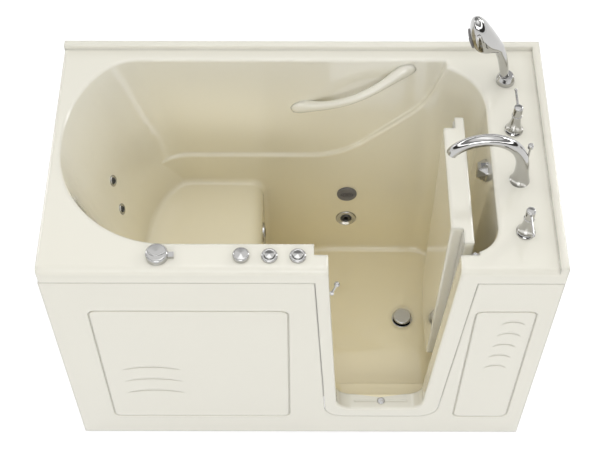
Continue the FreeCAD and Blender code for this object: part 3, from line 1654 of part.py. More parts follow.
SEAT_PULL_SHARE = 0.5
seat_start = PUMP + Vector(mm("port_offset"), mm("manifold_half"), MANIFOLD_Z - PUMP.z)
seat_pull = (SEAT_BACK.y - seat_start.y) * SEAT_PULL_SHARE
seat_ring = Part.Wire(Part.Circle(seat_start, Vector(0, 1, 0), mm("jet_pipe_radius")).toShape())
seat_line = bowed(
    seat_start, Vector(0, seat_pull, 0), SEAT_BACK, seat_jet.inward * -seat_pull, seat_ring)
finish(feature("seat_line", seat_line), "seat_jet_pipe")
HOSE_PULL_SHARE = 0.7
hoses = []
for seat, side in ((high_jet, 1), (low_jet, -1)):
    tail = seat.along(behind.value - mm("jet_body_length"))
    start = Vector(PUMP.x - mm("manifold_half"), mm("hose_radius") * 2 * side, MANIFOLD_Z)
    leave = Vector(-(tail - start).Length * HOSE_PULL_SHARE, 0, 0)
    section = Part.Wire(Part.Circle(start, leave, mm("hose_radius")).toShape())
    hoses.append(bowed(start, leave, tail, seat.inward * -mm("hose_out"), section))
finish(feature("hoses", Part.makeCompound(hoses)), "back_jet_hoses")


# Deck controls on the front edge

control_y = cell("control_setback") - half_depth
shank = cell("control_shank")
fit = cell("running_fit")
under = -cell("wall")


def control_body(name, x, stem_top):
    """Return a control's body under the deck, with the stem that its knob turns on."""
    low = under - cell("control_body_depth")
    return turned(name, (
        (ZERO, low),
        (cell("control_body_radius"), low),
        (cell("control_body_radius"), under),
        (shank, under),
        (shank, ZERO),
        (cell("stem_radius"), ZERO),
        (cell("stem_radius"), stem_top),
        (ZERO, stem_top),
    ), (x, control_y, deck))


def control_knob(name, x, radius, rise, rounding):
    """Return a domed knob with the blind bore for its stem."""
    bore = cell("stem_radius") + fit
    return turned(name, (
        (bore, gap),
        (radius, gap),
        (radius, rise, rounding),
        (ZERO, rise + rounding / 4),
        (ZERO, cell("stem_rise") + gap),
        (bore, cell("stem_rise") + gap),
    ), (x, control_y, deck))


diverter_x = door_left - cell("diverter_door_gap")
air_x = door_left - cell("air_door_gap")
diverter_body = control_body("diverter_case", diverter_x, cell("stem_rise"))
finish(diverter_body, "diverter_valve")
diverter_cap = control_knob(
    "diverter_cap", diverter_x, cell("diverter_radius"), cell("diverter_rise"), cell("control_round"))
tab_start = cell("diverter_radius") - cell("control_round")
diverter_tab = box(
    "diverter_tab",
    (diverter_x + tab_start, control_y - cell("diverter_tab_width") / 2, deck + gap),
    (cell("diverter_tab_reach") - tab_start, cell("diverter_tab_width"), cell("diverter_tab_rise")),
)
finish(fuse("diverter_handle", [diverter_cap, diverter_tab]), "diverter_knob")
air_body = control_body("air_case", air_x, cell("stem_rise"))
finish(air_body, "air_valve")
air_cap = control_knob(
    "air_cap", air_x, cell("control_radius"), cell("control_rise"), cell("control_round"))
finish(air_cap, "air_knob")

bezels = []
for name, label, x in (("pump", "pump_button", door_left - cell("pump_button_door_gap")),
                       ("aux", "aux_button", door_left - cell("aux_button_door_gap"))):
    low = under - cell("control_body_depth")
    sunk = -cell("button_depth") - cell("button_travel") - gap
    side = cell("button_radius")
    waist = side - cell("control_round") / 2
    bezel = turned(f"{name}_bezel", (
        (ZERO, low),
        (shank, low),
        (shank, ZERO),
        (cell("control_radius"), ZERO),
        (cell("control_radius"), cell("bezel_rise"), cell("bezel_rise") / 2),
        (side + gap, cell("bezel_rise") - cell("control_round") / 3),
        (side + gap, cell("control_round") / 2),
        (waist + fit, cell("control_round") / 2),
        (waist + fit, sunk),
        (ZERO, sunk),
    ), (x, control_y, deck))
    bezels.append(bezel)
    rest = cell("control_round") / 2 + cell("button_travel") + gap
    button = turned(f"{name}_push", (
        (ZERO, -cell("button_depth")),
        (waist, -cell("button_depth")),
        (waist, rest),
        (side, rest),
        (side, cell("button_rise") - cell("control_round") / 3, cell("control_round") / 4),
        (ZERO, cell("button_rise")),
    ), (x, control_y, deck))
    finish(button, label)
finish(group("button_rings", bezels), "button_housings")


# Filler valves and their levers

filler_x = half_length - cell("filler_setback")
block = cell("valve_block")
cold_y = cell("cold_front_margin") - half_depth
VALVES = (("hot", cell("hot_y"), 1), ("cold", cold_y, -1))
BELL_SHARES = ((0.76, 0.08), (0.54, 0.22), (0.34, 0.40), (0.18, 0.60), (0.06, 0.80), (0.00, 1.00))
valve_bodies = []
bells = []
for name, y, side in VALVES:
    stem_top = cell("bell_collar") + cell("cap_rise") / 2
    case = box(
        f"{name}_case",
        (filler_x - block / 2, y - block / 2, deck + under - cell("valve_block_drop")),
        (block, block, cell("valve_block_drop")),
    )
    core = turned(f"{name}_stem", (
        (ZERO, under - block / 2),
        (cell("valve_shank"), under - block / 2),
        (cell("valve_shank"), cell("bell_rise")),
        (cell("stem_radius"), cell("bell_rise")),
        (cell("stem_radius"), stem_top),
        (ZERO, stem_top),
    ), (filler_x, y, deck))
    tail = rod(
        f"{name}_tail",
        (filler_x, y, deck + under - cell("valve_block_drop") - cell("tail_drop")),
        cell("tail_radius"), cell("tail_drop") + block / 2)
    valve_bodies.append(fuse(f"{name}_body", [case, core, tail]))
    flare = [
        (cell("bell_neck") + (cell("bell_radius") - cell("bell_neck")) * out_share,
         cell("bell_foot") + (cell("bell_rise") - cell("bell_foot")) * up_share)
        for out_share, up_share in BELL_SHARES
    ]
    bell = turned(f"{name}_bell", (
        (cell("valve_shank") + gap, ZERO),
        (cell("bell_radius"), ZERO),
        (cell("bell_radius"), cell("bell_foot"), cell("bell_foot") / 3),
        *flare,
        (cell("bell_neck") + cell("bell_foot") / 2, cell("bell_rise")),
        (cell("bell_neck") + cell("bell_foot") / 2, cell("bell_collar"), cell("bell_foot") / 3),
        (cell("valve_shank") + gap, cell("bell_collar")),
    ), (filler_x, y, deck))
    bells.append(bell)
    cap_low_z = cell("bell_collar") + gap
    cap_high = cell("bell_collar") + cell("cap_rise")
    cap = turned(f"{name}_cap", (
        (cell("stem_radius") + fit, cap_low_z),
        (cell("cap_radius"), cap_low_z),
        (cell("cap_radius"), cap_high, cell("cap_round")),
        (ZERO, cap_high + cell("cap_round") / 4),
        (ZERO, stem_top + gap),
        (cell("stem_radius") + fit, stem_top + gap),
    ), (filler_x, y, deck))
    lever_z = deck + cell("bell_collar") + cell("lever_lift")
    away = cell("cap_radius") - cell("cap_round")
    arm = rod(f"{name}_arm", (filler_x, y + away * side, lever_z), cell("lever_radius"),
              cell("lever_reach") - away, Vector(0, side, 0))
    tip = doc.addObject("Part::Sphere", f"{name}_tip")
    bind(tip, "Radius", cell("lever_tip_radius"))
    move(tip, filler_x, y + cell("lever_reach") * side, lever_z)
    finish(fuse(f"{name}_handle", [cap, arm, tip]), f"{name}_lever")
finish(group("valves", valve_bodies), "valve_bodies")
finish(group("valve_cones", bells), "valve_bells")

cross_z = deck + under - cell("cross_drop")
spout_at = -cell("spout_y")
centre_block = box(
    "centre_block",
    (filler_x - block / 2, spout_at - block / 2, deck + under - cell("valve_block_drop")),
    (block, block, cell("valve_block_drop")),
)
cross_low = cold_y + block / 2
cross_pipe = rod("cross_pipe", (filler_x, cross_low, cross_z), cell("cross_radius"),
                 cell("hot_y") - cold_y - block, Vector(0, 1, 0))
finish(fuse("crossbar", [centre_block, cross_pipe]), "filler_crossbar")


# Spout, hand shower and grab bar, each lofted along a curve

def lofted(points, sections, side, leave, arrive):
    """Loft ellipses along a curve; each section is its half width along side and half thickness."""
    curve = Part.BSplineCurve()
    curve.interpolate(Points=points, InitialTangent=leave, FinalTangent=arrive)
    wires = []
    for point, (half_width, half_thick) in zip(points, sections):
        ahead = curve.tangent(curve.parameter(point))[0]
        across = ahead.cross(side).normalize()
        ellipse = Part.Ellipse(point + side * half_width, point + across * half_thick, point)
        wires.append(Part.Wire(ellipse.toShape()))
    return Part.makeLoft(wires, True, False)


SPOUT_BASE = Vector(FILLER_X, -mm("spout_y"), DECK)
SPOUT_SHARES = (
    (0.00, 0.00, 0.00), (0.00, 0.24, 0.50), (0.03, 0.52, 0.72), (0.17, 0.83, 0.80),
    (0.46, 1.00, 0.86), (0.74, 0.95, 0.92), (0.93, 0.80, 0.97), (1.00, 0.68, 1.00),
)
OVAL_SHARE = 1.002


def spout_shape():
    """Return the arched spout with its outlet, the bore of its lift rod and its shank."""
    base = mm("spout_base_radius")
    neck = mm("spout_neck_radius")
    tip = mm("spout_tip_radius")
    rise = mm("spout_rise") - tip
    points = []
    sections = []
    for out_share, up_share, slim_share in SPOUT_SHARES:
        points.append(SPOUT_BASE + Vector(-mm("spout_reach") * out_share, 0, rise * up_share))
        half = base + (neck - base) * slim_share * 2
        if slim_share > 0.5:
            half = neck + (tip - neck) * (slim_share - 0.5) * 2
        sections.append((half * OVAL_SHARE, half))
    down = Vector(-1, 0, -2).normalize()
    arch = lofted(points, sections, Vector(0, 1, 0), Vector(0, 0, 1), down)
    mouth = Part.makeCylinder(
        mm("spout_bore"), mm("spout_bore_depth") * 2, points[-1] - down * mm("spout_bore_depth"), down)
    hole = Part.makeCylinder(mm("lift_stem_radius") + mm("running_fit"), mm("spout_rise"), LIFT_LOW)
    shank_rod = Part.makeCylinder(mm("valve_shank"), mm("wall"), SPOUT_BASE - Vector(0, 0, mm("wall")))
    return arch.fuse(shank_rod).cut([mouth, hole])


LIFT_SHARE = 0.45
LIFT_LOW = SPOUT_BASE + Vector(mm("lift_offset"), 0, mm("spout_rise") * LIFT_SHARE)
finish(feature("arch", spout_shape()), "spout")
stem_high = cell("lift_stem_sink") * 2 + cell("lift_stem_height")
knob_high = stem_high + cell("lift_knob_height")
lift_knob = turned("lift", (
    (ZERO, gap),
    (cell("lift_stem_radius"), gap),
    (cell("lift_stem_radius"), stem_high),
    (cell("lift_knob_radius"), stem_high),
    (cell("lift_knob_radius"), knob_high, cell("lift_knob_radius") / 2),
    (ZERO, knob_high),
), LIFT_LOW)
finish(lift_knob, "spout_lift_knob")

TILT = math.radians(mm("shower_tilt"))
HANDLE_AXIS = Vector(-math.sin(TILT), 0, math.cos(TILT))
FACE_AXIS = Vector(-math.cos(TILT), 0, -math.sin(TILT))
HANDLE_LOW = Vector(SHOWER_X, SHOWER_Y, DECK + mm("holder_rise") - mm("handle_sink"))
HEAD_SHARES = (
    (0.10, 0.10, 0.18, 0.18), (0.27, 0.30, 0.55, 0.58), (0.45, 0.52, 0.90, 0.90),
    (0.63, 0.62, 1.00, 1.00), (0.80, 0.62, 0.88, 0.86), (0.92, 0.57, 0.60, 0.58), (0.98, 0.53, 0.28, 0.26),
    (1.01, 0.51, 0.00, -0.02), (1.02, 0.505, -0.30, -0.42),
)


def head_spot(along, out):
    """Return a point of the hand shower by its share of the head's length and thickness."""
    run = mm("handle_length") + mm("head_length") * along
    return HANDLE_LOW + HANDLE_AXIS * run + FACE_AXIS * (mm("head_half_thick") * out)


SPRAY_SHARES = (0.56, 1.58)
SPRAY_LOW = head_spot(*SPRAY_SHARES) - FACE_AXIS * mm("spray_pocket")
HANDLE_SHARES = (0.0, 0.4, 0.8)


def hand_shower_shape():
    """Return the handle and the swollen head, with the pocket for its spray plate."""
    slim = mm("handle_radius")
    points = [HANDLE_LOW + HANDLE_AXIS * (mm("handle_length") * share) for share in HANDLE_SHARES]
    sections = [(slim * OVAL_SHARE, slim)] * len(points)
    for along, out, wide_share, thick_share in HEAD_SHARES:
        points.append(head_spot(along, out))
        wide = slim + (mm("head_half_width") - slim) * wide_share
        thick = slim + (mm("head_half_thick") - slim) * thick_share
        sections.append((wide * OVAL_SHARE, thick))
    body = lofted(points, sections, Vector(0, 1, 0), HANDLE_AXIS, HANDLE_AXIS)
    pocket = Part.makeCylinder(
        mm("spray_radius") + mm("free_gap"), mm("head_half_thick"), SPRAY_LOW, FACE_AXIS)
    return body.cut(pocket)


def selector_shape():
    """Return the spray plate with the small tab that turns it."""
    thick = mm("spray_thick")
    plate = Part.makeCylinder(mm("spray_radius"), thick, SPRAY_LOW, FACE_AXIS)
    side = Vector(0, 1, 0)
    half = mm("spray_tab_width") / 2
    start = SPRAY_LOW + FACE_AXIS * thick
    corners = (
        start - side * half,
        start + side * half,
        start + side * half - HANDLE_AXIS * mm("spray_tab_reach"),
        start - side * half - HANDLE_AXIS * mm("spray_tab_reach"),
    )
    tab = Part.Face(Part.makePolygon([*corners, corners[0]])).extrude(FACE_AXIS * thick)
    return plate.fuse(tab).removeSplitter()


finish(feature("shower_body", hand_shower_shape()), "hand_shower")
finish(feature("selector", selector_shape()), "spray_selector")
holder = turned("holder_cone", (
    (ZERO, under - cell("holder_tail_drop")),
    (cell("holder_tail_radius"), under - cell("holder_tail_drop")),
    (cell("holder_tail_radius"), ZERO),
    (cell("holder_radius"), ZERO),
    (cell("holder_radius"), cell("holder_rise") / 2, cell("control_round")),
    (cell("holder_shoulder"), cell("holder_rise"), cell("bell_foot") / 2),
    (ZERO, cell("holder_rise")),
), (half_length - cell("shower_setback"), half_depth - cell("shower_back_margin"), deck))
socket_bore = feature("holder_bore", Part.makeCylinder(
    mm("handle_radius") + mm("free_gap"), mm("handle_length"), HANDLE_LOW, HANDLE_AXIS))
finish(cut("holder", holder, socket_bore), "shower_holder")


def shower_line_shape():
    """Return the pipe from the filler to the hand shower's holder."""
    start = Vector(FILLER_X, -mm("spout_y"), DECK - mm("wall") - mm("valve_block_drop"))
    low = start.z - mm("shower_hose_drop")
    stop = Vector(SHOWER_X, SHOWER_Y, DECK - mm("wall") - mm("holder_tail_drop"))
    shift = FILLER_X + mm("valve_block")
    path = (
        start,
        Vector(FILLER_X, start.y, low),
        Vector(shift, (start.y + stop.y) / 2, low),
        Vector(SHOWER_X, stop.y, low),
        stop,
    )
    return pipe(path, mm("shower_hose_radius"), mm("pipe_bend"))


finish(feature("shower_run", shower_line_shape()), "shower_pipe")

BAR_PULL_SHARE = 0.3
BAR_SHARES = (
    (0.00, 2.00), (0.08, 1.70), (0.15, 1.32), (0.23, 1.10), (0.35, 1.00), (0.50, 0.98),
    (0.65, 1.00), (0.77, 1.10), (0.85, 1.32), (0.92, 1.70), (1.00, 2.00),
)


def bar_shape():
    """Return the moulded grab bar that bows off the upper back wall."""
    inward = Vector(0, -1, BAR_LEAN).normalize()
    ends = []
    for name in ("low", "high"):
        height = mm(f"bar_{name}_height")
        ends.append(Vector(HALF_LENGTH - mm(f"bar_{name}_margin"), bowl_back(height), height))
    run = ends[1] - ends[0]
    side = run.cross(inward).normalize()
    rise = inward * (mm("bar_stand_off") * 4 / 3)
    leave = rise + run * BAR_PULL_SHARE
    arrive = rise - run * BAR_PULL_SHARE
    sunk = [ends[0] - leave * BAR_PULL_SHARE, ends[1] - arrive * BAR_PULL_SHARE]
    grown = 1 + BAR_PULL_SHARE
    curve = Part.BezierCurve()
    curve.setPoles((sunk[0], sunk[0] + leave * grown, sunk[1] + arrive * grown, sunk[1]))
    points = [curve.value(along) for along, _ in BAR_SHARES]
    sections = [(mm("bar_half_width") * flare, mm("bar_half_thick") * flare) for _, flare in BAR_SHARES]
    bow = lofted(points, sections, side, leave, -arrive)
    pads = [Part.makeCylinder(mm("bar_pad_radius"), mm("bar_pad_thick"), end, inward) for end in ends]
    return bow.common(raw_basin).multiFuse(pads).removeSplitter()


finish(feature("bar", bar_shape()), "grab_bar")


def air_line_shape():
    """Return the air tube from the deck control to the manifold."""
    start = Vector(DOOR_LEFT - mm("air_door_gap"), CONTROL_Y, DECK - mm("wall") - mm("control_body_depth"))
    path = (
        start,
        Vector(start.x, start.y, MANIFOLD_Z),
        Vector(PUMP.x, start.y, MANIFOLD_Z),
        Vector(PUMP.x, -mm("manifold_half"), MANIFOLD_Z),
    )
    return pipe(path, mm("hose_radius"), mm("pipe_bend"))


finish(feature("air_run", air_line_shape()), "air_pipe")


# Checks and export

doc.recompute()
for thing in doc.Objects:
    if "Invalid" in thing.State or "Error" in thing.State:
        raise RuntimeError(f"{thing.Name} did not build: {thing.State}")
os.makedirs("parts", exist_ok=True)
for thing in PARTS:
    if thing.Shape.isNull() or not thing.Shape.isValid():
        raise RuntimeError(f"{thing.Label} has no valid shape")
    thing.Shape.exportStep(f"parts/{thing.Label}.step")
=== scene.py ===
"""Looks of a walk-in jetted bathtub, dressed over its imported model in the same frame."""

from __future__ import annotations

import json
import logging
import math
from dataclasses import dataclass, replace
from enum import Enum
from typing import Any, Iterable, Sequence

import bmesh
import bpy
from mathutils import Matrix, Vector

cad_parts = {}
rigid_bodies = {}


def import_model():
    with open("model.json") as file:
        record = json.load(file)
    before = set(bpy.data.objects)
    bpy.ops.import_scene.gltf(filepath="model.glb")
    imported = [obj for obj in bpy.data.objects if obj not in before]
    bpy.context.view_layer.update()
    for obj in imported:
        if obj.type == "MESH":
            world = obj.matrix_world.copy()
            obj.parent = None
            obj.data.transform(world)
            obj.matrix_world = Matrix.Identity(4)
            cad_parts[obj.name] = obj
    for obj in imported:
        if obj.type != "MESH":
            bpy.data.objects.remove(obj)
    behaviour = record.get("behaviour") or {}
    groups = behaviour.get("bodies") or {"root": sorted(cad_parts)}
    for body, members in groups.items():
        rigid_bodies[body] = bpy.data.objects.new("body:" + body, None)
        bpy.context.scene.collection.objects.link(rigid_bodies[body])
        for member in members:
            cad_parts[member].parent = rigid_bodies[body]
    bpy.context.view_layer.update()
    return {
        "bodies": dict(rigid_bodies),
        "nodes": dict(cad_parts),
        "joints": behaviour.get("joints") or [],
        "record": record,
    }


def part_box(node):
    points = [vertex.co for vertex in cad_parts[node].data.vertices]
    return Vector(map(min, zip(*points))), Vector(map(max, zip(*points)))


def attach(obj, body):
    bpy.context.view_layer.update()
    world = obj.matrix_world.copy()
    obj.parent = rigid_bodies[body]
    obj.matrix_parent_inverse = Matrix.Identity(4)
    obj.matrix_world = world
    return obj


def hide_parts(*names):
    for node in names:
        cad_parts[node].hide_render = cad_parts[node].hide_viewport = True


LOG = logging.getLogger("walk_in_tub")

Colour = tuple[float, float, float]
Spot = tuple[float, float, float]

UP: Spot = (0.0, 0.0, 1.0)
FORWARDS: Spot = (0.0, -1.0, 0.0)
BACKWARDS: Spot = (0.0, 1.0, 0.0)


class Slot(Enum):
    """Material slots of the record that the pieces take their finish from."""

    ACRYLIC = "cream_acrylic"
    CHROME = "chrome"
    STEEL = "galvanised_steel"
    BRASS = "brass"
    PVC = "white_pvc"
    HOSE = "clear_hose"
    DARK = "dark_plastic"
    GREY = "grey_plastic"
    RUBBER = "rubber"
    SEAL = "seal_rubber"
    MOTOR = "motor_paint"


@dataclass(frozen=True)
class Grain:
    """A noise pattern: its waves per metre, its octaves and its scale along each axis."""

    scale: float
    detail: float = 2.0
    stretch: Spot = (1.0, 1.0, 1.0)


class Value:
    """One output socket of a tree, with operators that add Math nodes."""

    def __init__(self, tree: Tree, socket: bpy.types.NodeSocket) -> None:
        """Keeps the socket and the tree that it belongs to."""
        self.tree = tree
        self.socket = socket

    def math(self, operation: str, first: Any, second: Any) -> Value:
        """Adds one Math node.

        Args:
            operation: Name of the Math node's operation.
            first: Number or value of the first socket.
            second: Number or value of the second socket.

        Returns:
            The node's result.
        """
        return self.tree.node("ShaderNodeMath", {"operation": operation}, {0: first, 1: second})

    def __add__(self, other: Any) -> Value:
        """This value plus another."""
        return self.math("ADD", self, other)

    __radd__ = __add__

    def __sub__(self, other: Any) -> Value:
        """This value less another."""
        return self.math("SUBTRACT", self, other)

    def __rsub__(self, other: Any) -> Value:
        """A number less this value."""
        return self.math("SUBTRACT", other, self)

    def __mul__(self, other: Any) -> Value:
        """This value times another."""
        return self.math("MULTIPLY", self, other)

    __rmul__ = __mul__

    def most(self, other: Any) -> Value:
        """The larger of this value and another."""
        return self.math("MAXIMUM", self, other)

    def held(self) -> Value:
        """This value, held between zero and one."""
        return self.math("MINIMUM", self.most(0.0), 1.0)


class Tree:
    """A node tree under construction."""

    def __init__(self, tree: bpy.types.NodeTree) -> None:
        """Keeps Blender's own tree, emptied."""
        self.tree = tree
        tree.nodes.clear()

    def node(
        self,
        kind: str,
        settings: dict[str, Any] | None = None,
        sockets: dict[str | int, Any] | None = None,
        out: str | int = 0,
    ) -> Value:
        """Adds a node.

        Args:
            kind: Type name of the node.
            settings: Properties that are set first; "stops" fills a colour ramp.
            sockets: Values or links of its input sockets, by name or index; a list holds several links.
            out: Name or index of the output that is returned.

        Returns:
            The chosen output, wrapped.
        """
        made = self.tree.nodes.new(kind)
        for name, setting in (settings or {}).items():
            if name == "stops":
                ramp = made.color_ramp
                for _ in range(len(setting) - len(ramp.elements)):
                    ramp.elements.new(0.5)
                for element, (place, colour) in zip(ramp.elements, setting):
                    element.position = place
                    element.color = (*colour, 1.0)
            else:
                setattr(made, name, setting)
        for name, value in (sockets or {}).items():
            target = made.inputs[name]
            for single in value if isinstance(value, list) else [value]:
                if isinstance(single, Value):
                    self.tree.links.new(single.socket, target)
                elif target.type == "RGBA":
                    target.default_value = (*single, 1.0)
                else:
                    target.default_value = single
        chosen = made.outputs[out] if made.outputs else None
        return Value(self, chosen)


class Shader(Tree):
    """The tree of a material or of the world."""

    mix_share: int = 0
    mix_low: int = 6
    mix_high: int = 7
    mix_colour: int = 2

    def __init__(self, owner: bpy.types.Material | bpy.types.World) -> None:
        """Opens the owner's tree."""
        owner.use_nodes = True
        super().__init__(owner.node_tree)

    def place(self) -> Value:
        """Object coordinates of the piece, in metres."""
        return self.node("ShaderNodeTexCoord", out="Object")

    def noise(self, grain: Grain) -> Value:
        """Adds a noise pattern.

        Args:
            grain: The pattern.

        Returns:
            The pattern's value, from 0 to 1.
        """
        where = self.node("ShaderNodeMapping", {}, {"Vector": self.place(), "Scale": grain.stretch})
        sockets = {"Vector": where, "Scale": grain.scale, "Detail": grain.detail}
        return self.node("ShaderNodeTexNoise", {}, sockets, "Fac")

    def mark(self, name: str) -> Value:
        """The piece's own mark of this name; zero where it has none."""
        return self.node("ShaderNodeAttribute", {"attribute_name": name}, {}, "Fac")

    def mix(self, share: Any, low: Any, high: Any) -> Value:
        """Mixes two colours or two normals.

        Args:
            share: Share of the second.
            low: First colour or normal.
            high: Second colour or normal.

        Returns:
            The mixture.
        """
        sockets = {self.mix_share: share, self.mix_low: low, self.mix_high: high}
        return self.node("ShaderNodeMix", {"data_type": "RGBA"}, sockets, self.mix_colour)

    def bump(self, height: Value, depth: float, strength: float = 1.0, under: Value | None = None) -> Value:
        """Adds a bump.

        Args:
            height: Pattern of the relief, from 0 to 1.
            depth: Height of the relief in metres.
            strength: Share of the relief that shows.
            under: Normal that the relief stands on, where it isn't the surface's own.

        Returns:
            The normal.
        """
        sockets = {"Height": height, "Distance": depth, "Strength": strength}
        if under is not None:
            sockets["Normal"] = under
        return self.node("ShaderNodeBump", {}, sockets, "Normal")

    def surface(self, sockets: dict[str | int, Any]) -> None:
        """Ends the tree in one principled surface.

        Args:
            sockets: Values or links of the surface's sockets.
        """
        body = self.node("ShaderNodeBsdfPrincipled", {}, sockets)
        self.node("ShaderNodeOutputMaterial", {}, {"Surface": body})


@dataclass(frozen=True)
class Finish:
    """What every finish has: a name, a record slot and a colour."""

    name: str
    slot: Slot
    colour: Colour

    def material(self) -> bpy.types.Material:
        """Makes the finish's material once, and finds it again by its name.

        Returns:
            The material.
        """
        found = bpy.data.materials.get(self.name)
        if found is None:
            found = bpy.data.materials.new(self.name)
            self.paint(Shader(found))
        return found

    def paint(self, tree: Shader) -> None:
        """Fills the material's tree; each finish has its own way."""
        raise NotImplementedError


@dataclass(frozen=True)
class Acrylic(Finish):
    """Gloss moulded acrylic with a faint ripple.

    Where the sheet faces into the bathing space, its tone is painted deeper with depth as painted shade. Where it
    is marked as backed, the chopped glass and resin behind it show instead of the gloss.
    """

    # Colour of the painted shade at the bottom of the basin; the random mottle also leans towards it.
    painted_shade_and_mottle_tone: Colour = (0.875, 0.785, 0.53)
    painted_shade_top: float = 0.95
    painted_shade_span: float = 0.75
    painted_shade_share: float = 0.95
    clouds: Grain = Grain(2.3, 3.0)
    mottle: float = 0.05
    resin: Colour = (0.60, 0.575, 0.47)
    fibre: Colour = (0.74, 0.73, 0.66)
    level_strands: Grain = Grain(110.0, 4.0, (1.0, 0.12, 1.0))
    upright_strands: Grain = Grain(120.0, 4.0, (0.12, 1.0, 1.0))
    strand_middle: float = 0.5
    strand_contrast: float = 5.0
    strand_share: float = 0.7
    strand_relief: float = 6.0
    cloud_share: float = 0.2
    gloss: float = 0.10
    wipes: Grain = Grain(9.0, 4.0, (1.0, 1.0, 2.2))
    wiping: float = 0.05
    backing_dull: float = 0.35
    index: float = 1.49
    coat_gloss: float = 0.03
    peel: Grain = Grain(140.0, 1.0)
    ripple: float = 0.00012
    ripple_share: float = 0.3
    edge: float = 0.006
    rim: float = 0.014
    rim_low: float = 0.905
    rim_rise: float = 0.02
    bevel_samples: int = 6

    def paint(self, tree: Shader) -> None:
        """The cream sheet: painted shade that deepens down the basin, with uneven gloss and a slight ripple, and
        its backing.

        Args:
            tree: The material's empty tree.
        """
        slow = tree.noise(self.clouds)
        wiped = tree.noise(self.wipes)
        height = tree.node("ShaderNodeSeparateXYZ", {}, {0: tree.place()}, "Z")
        # Painted shade: on the basin's inner faces the colour deepens and yellows from the deck downwards, standing
        # in for shade.
        drawn = ((self.painted_shade_top - height) * (1.0 / self.painted_shade_span)).held() * tree.mark("drawn")
        colour = tree.mix(drawn * self.painted_shade_share + slow * self.mottle, self.colour, self.painted_shade_and_mottle_tone)
        backed = tree.mark("backed")
        crossed = tree.noise(self.level_strands).most(tree.noise(self.upright_strands))
        strands = ((crossed - self.strand_middle) * self.strand_contrast).held()
        backing = tree.mix(strands * self.strand_share + slow * self.cloud_share, self.resin, self.fibre)
        peel = tree.noise(self.peel) * (1.0 - backed) + strands * backed * self.strand_relief
        near, wide = (
            tree.node("ShaderNodeBevel", {"samples": self.bevel_samples}, {"Radius": reach}, "Normal")
            for reach in (self.edge, self.rim)
        )
        soft = tree.mix(((height - self.rim_low) * (1.0 / self.rim_rise)).held(), near, wide)
        tree.surface(
            {
                "Base Color": tree.mix(backed, colour, backing),
                "Roughness": wiped * self.wiping + self.gloss + backed * self.backing_dull,
                "IOR": self.index,
                "Coat Weight": 1.0 - backed,
                "Coat Roughness": self.coat_gloss,
                "Normal": tree.bump(peel, self.ripple, self.ripple_share, soft),
            }
        )


@dataclass(frozen=True)
class Plated(Finish):
    """Polished plate on metal, with wiping marks and a few dull spots."""

    gloss: float = 0.03
    wipes: Grain = Grain(38.0, 5.0, (1.0, 1.0, 2.5))
    wiping: float = 0.05
    spots: Grain = Grain(320.0)
    wear: float = 0.22
    worn_tone: float = 0.86
    waves: Grain = Grain(60.0, 1.0)
    ripple: float = 0.0001
    ripple_share: float = 0.15

    def paint(self, tree: Shader) -> None:
        """The bright plate: wiping marks in the gloss and slight wear in the colour.

        Args:
            tree: The material's empty tree.
        """
        wiped = tree.noise(self.wipes)
        spots = tree.noise(self.spots)
        dull = tuple(self.worn_tone * part for part in self.colour)
        tree.surface(
            {
                "Base Color": tree.mix(spots * self.wear, self.colour, dull),
                "Metallic": 1.0,
                "Roughness": wiped * self.wiping + self.gloss,
                "Normal": tree.bump(tree.noise(self.waves), self.ripple, self.ripple_share),
            }
        )


@dataclass(frozen=True)
class Moulded(Finish):
    """Moulded plastic or rubber with a fine spark-eroded grain."""

    gloss: float = 0.45
    skin: Grain = Grain(900.0)
    skin_dull: float = 0.12
    depth: float = 0.00008
    depth_share: float = 0.35
    clouds: Grain = Grain(14.0, 3.0)
    cloud_dull: float = 0.1
    dust: float = 0.25
    dust_tone: tuple[float, float] = (0.8, 0.06)

    def paint(self, tree: Shader) -> None:
        """The moulded skin: fine grain, uneven gloss and dust in random patches.

        Args:
            tree: The material's empty tree.
        """
        fine = tree.noise(self.skin)
        cloudy = tree.noise(self.clouds)
        share, lift = self.dust_tone
        dusty = tuple(share * part + lift for part in self.colour)
        tree.surface(
            {
                "Base Color": tree.mix(cloudy * self.dust, self.colour, dusty),
                "Roughness": fine * self.skin_dull + (cloudy * self.cloud_dull + (self.gloss - self.cloud_dull)),
                "Normal": tree.bump(fine, self.depth, self.depth_share),
            }
        )


@dataclass(frozen=True)
class Galvanised(Finish):
    """Zinc-coated steel tube with its spangle and long drawing marks."""

    spangle: float = 90.0
    crystal_tone: float = 0.72
    crystal_share: float = 0.6
    crystal_dull: float = 0.18
    metal: float = 0.92
    gloss: float = 0.26
    marks: Grain = Grain(260.0, 3.0, (0.06, 1.0, 1.0))
    mark_dull: float = 0.12
    mark_depth: float = 0.00006
    mark_share: float = 0.3

    def paint(self, tree: Shader) -> None:
        """The zinc: crystals of two greys, dull and bright.

        Args:
            tree: The material's empty tree.
        """
        cells = tree.node("ShaderNodeTexVoronoi", {}, {"Vector": tree.place(), "Scale": self.spangle}, "Color")
        tone = tree.node("ShaderNodeRGBToBW", {}, {0: cells})
        drawn = tree.noise(self.marks)
        dark = tuple(self.crystal_tone * part for part in self.colour)
        tree.surface(
            {
                "Base Color": tree.mix(tone * self.crystal_share, self.colour, dark),
                "Metallic": self.metal,
                "Roughness": tone * self.crystal_dull + (drawn * self.mark_dull + self.gloss),
                "Normal": tree.bump(drawn, self.mark_depth, self.mark_share),
            }
        )


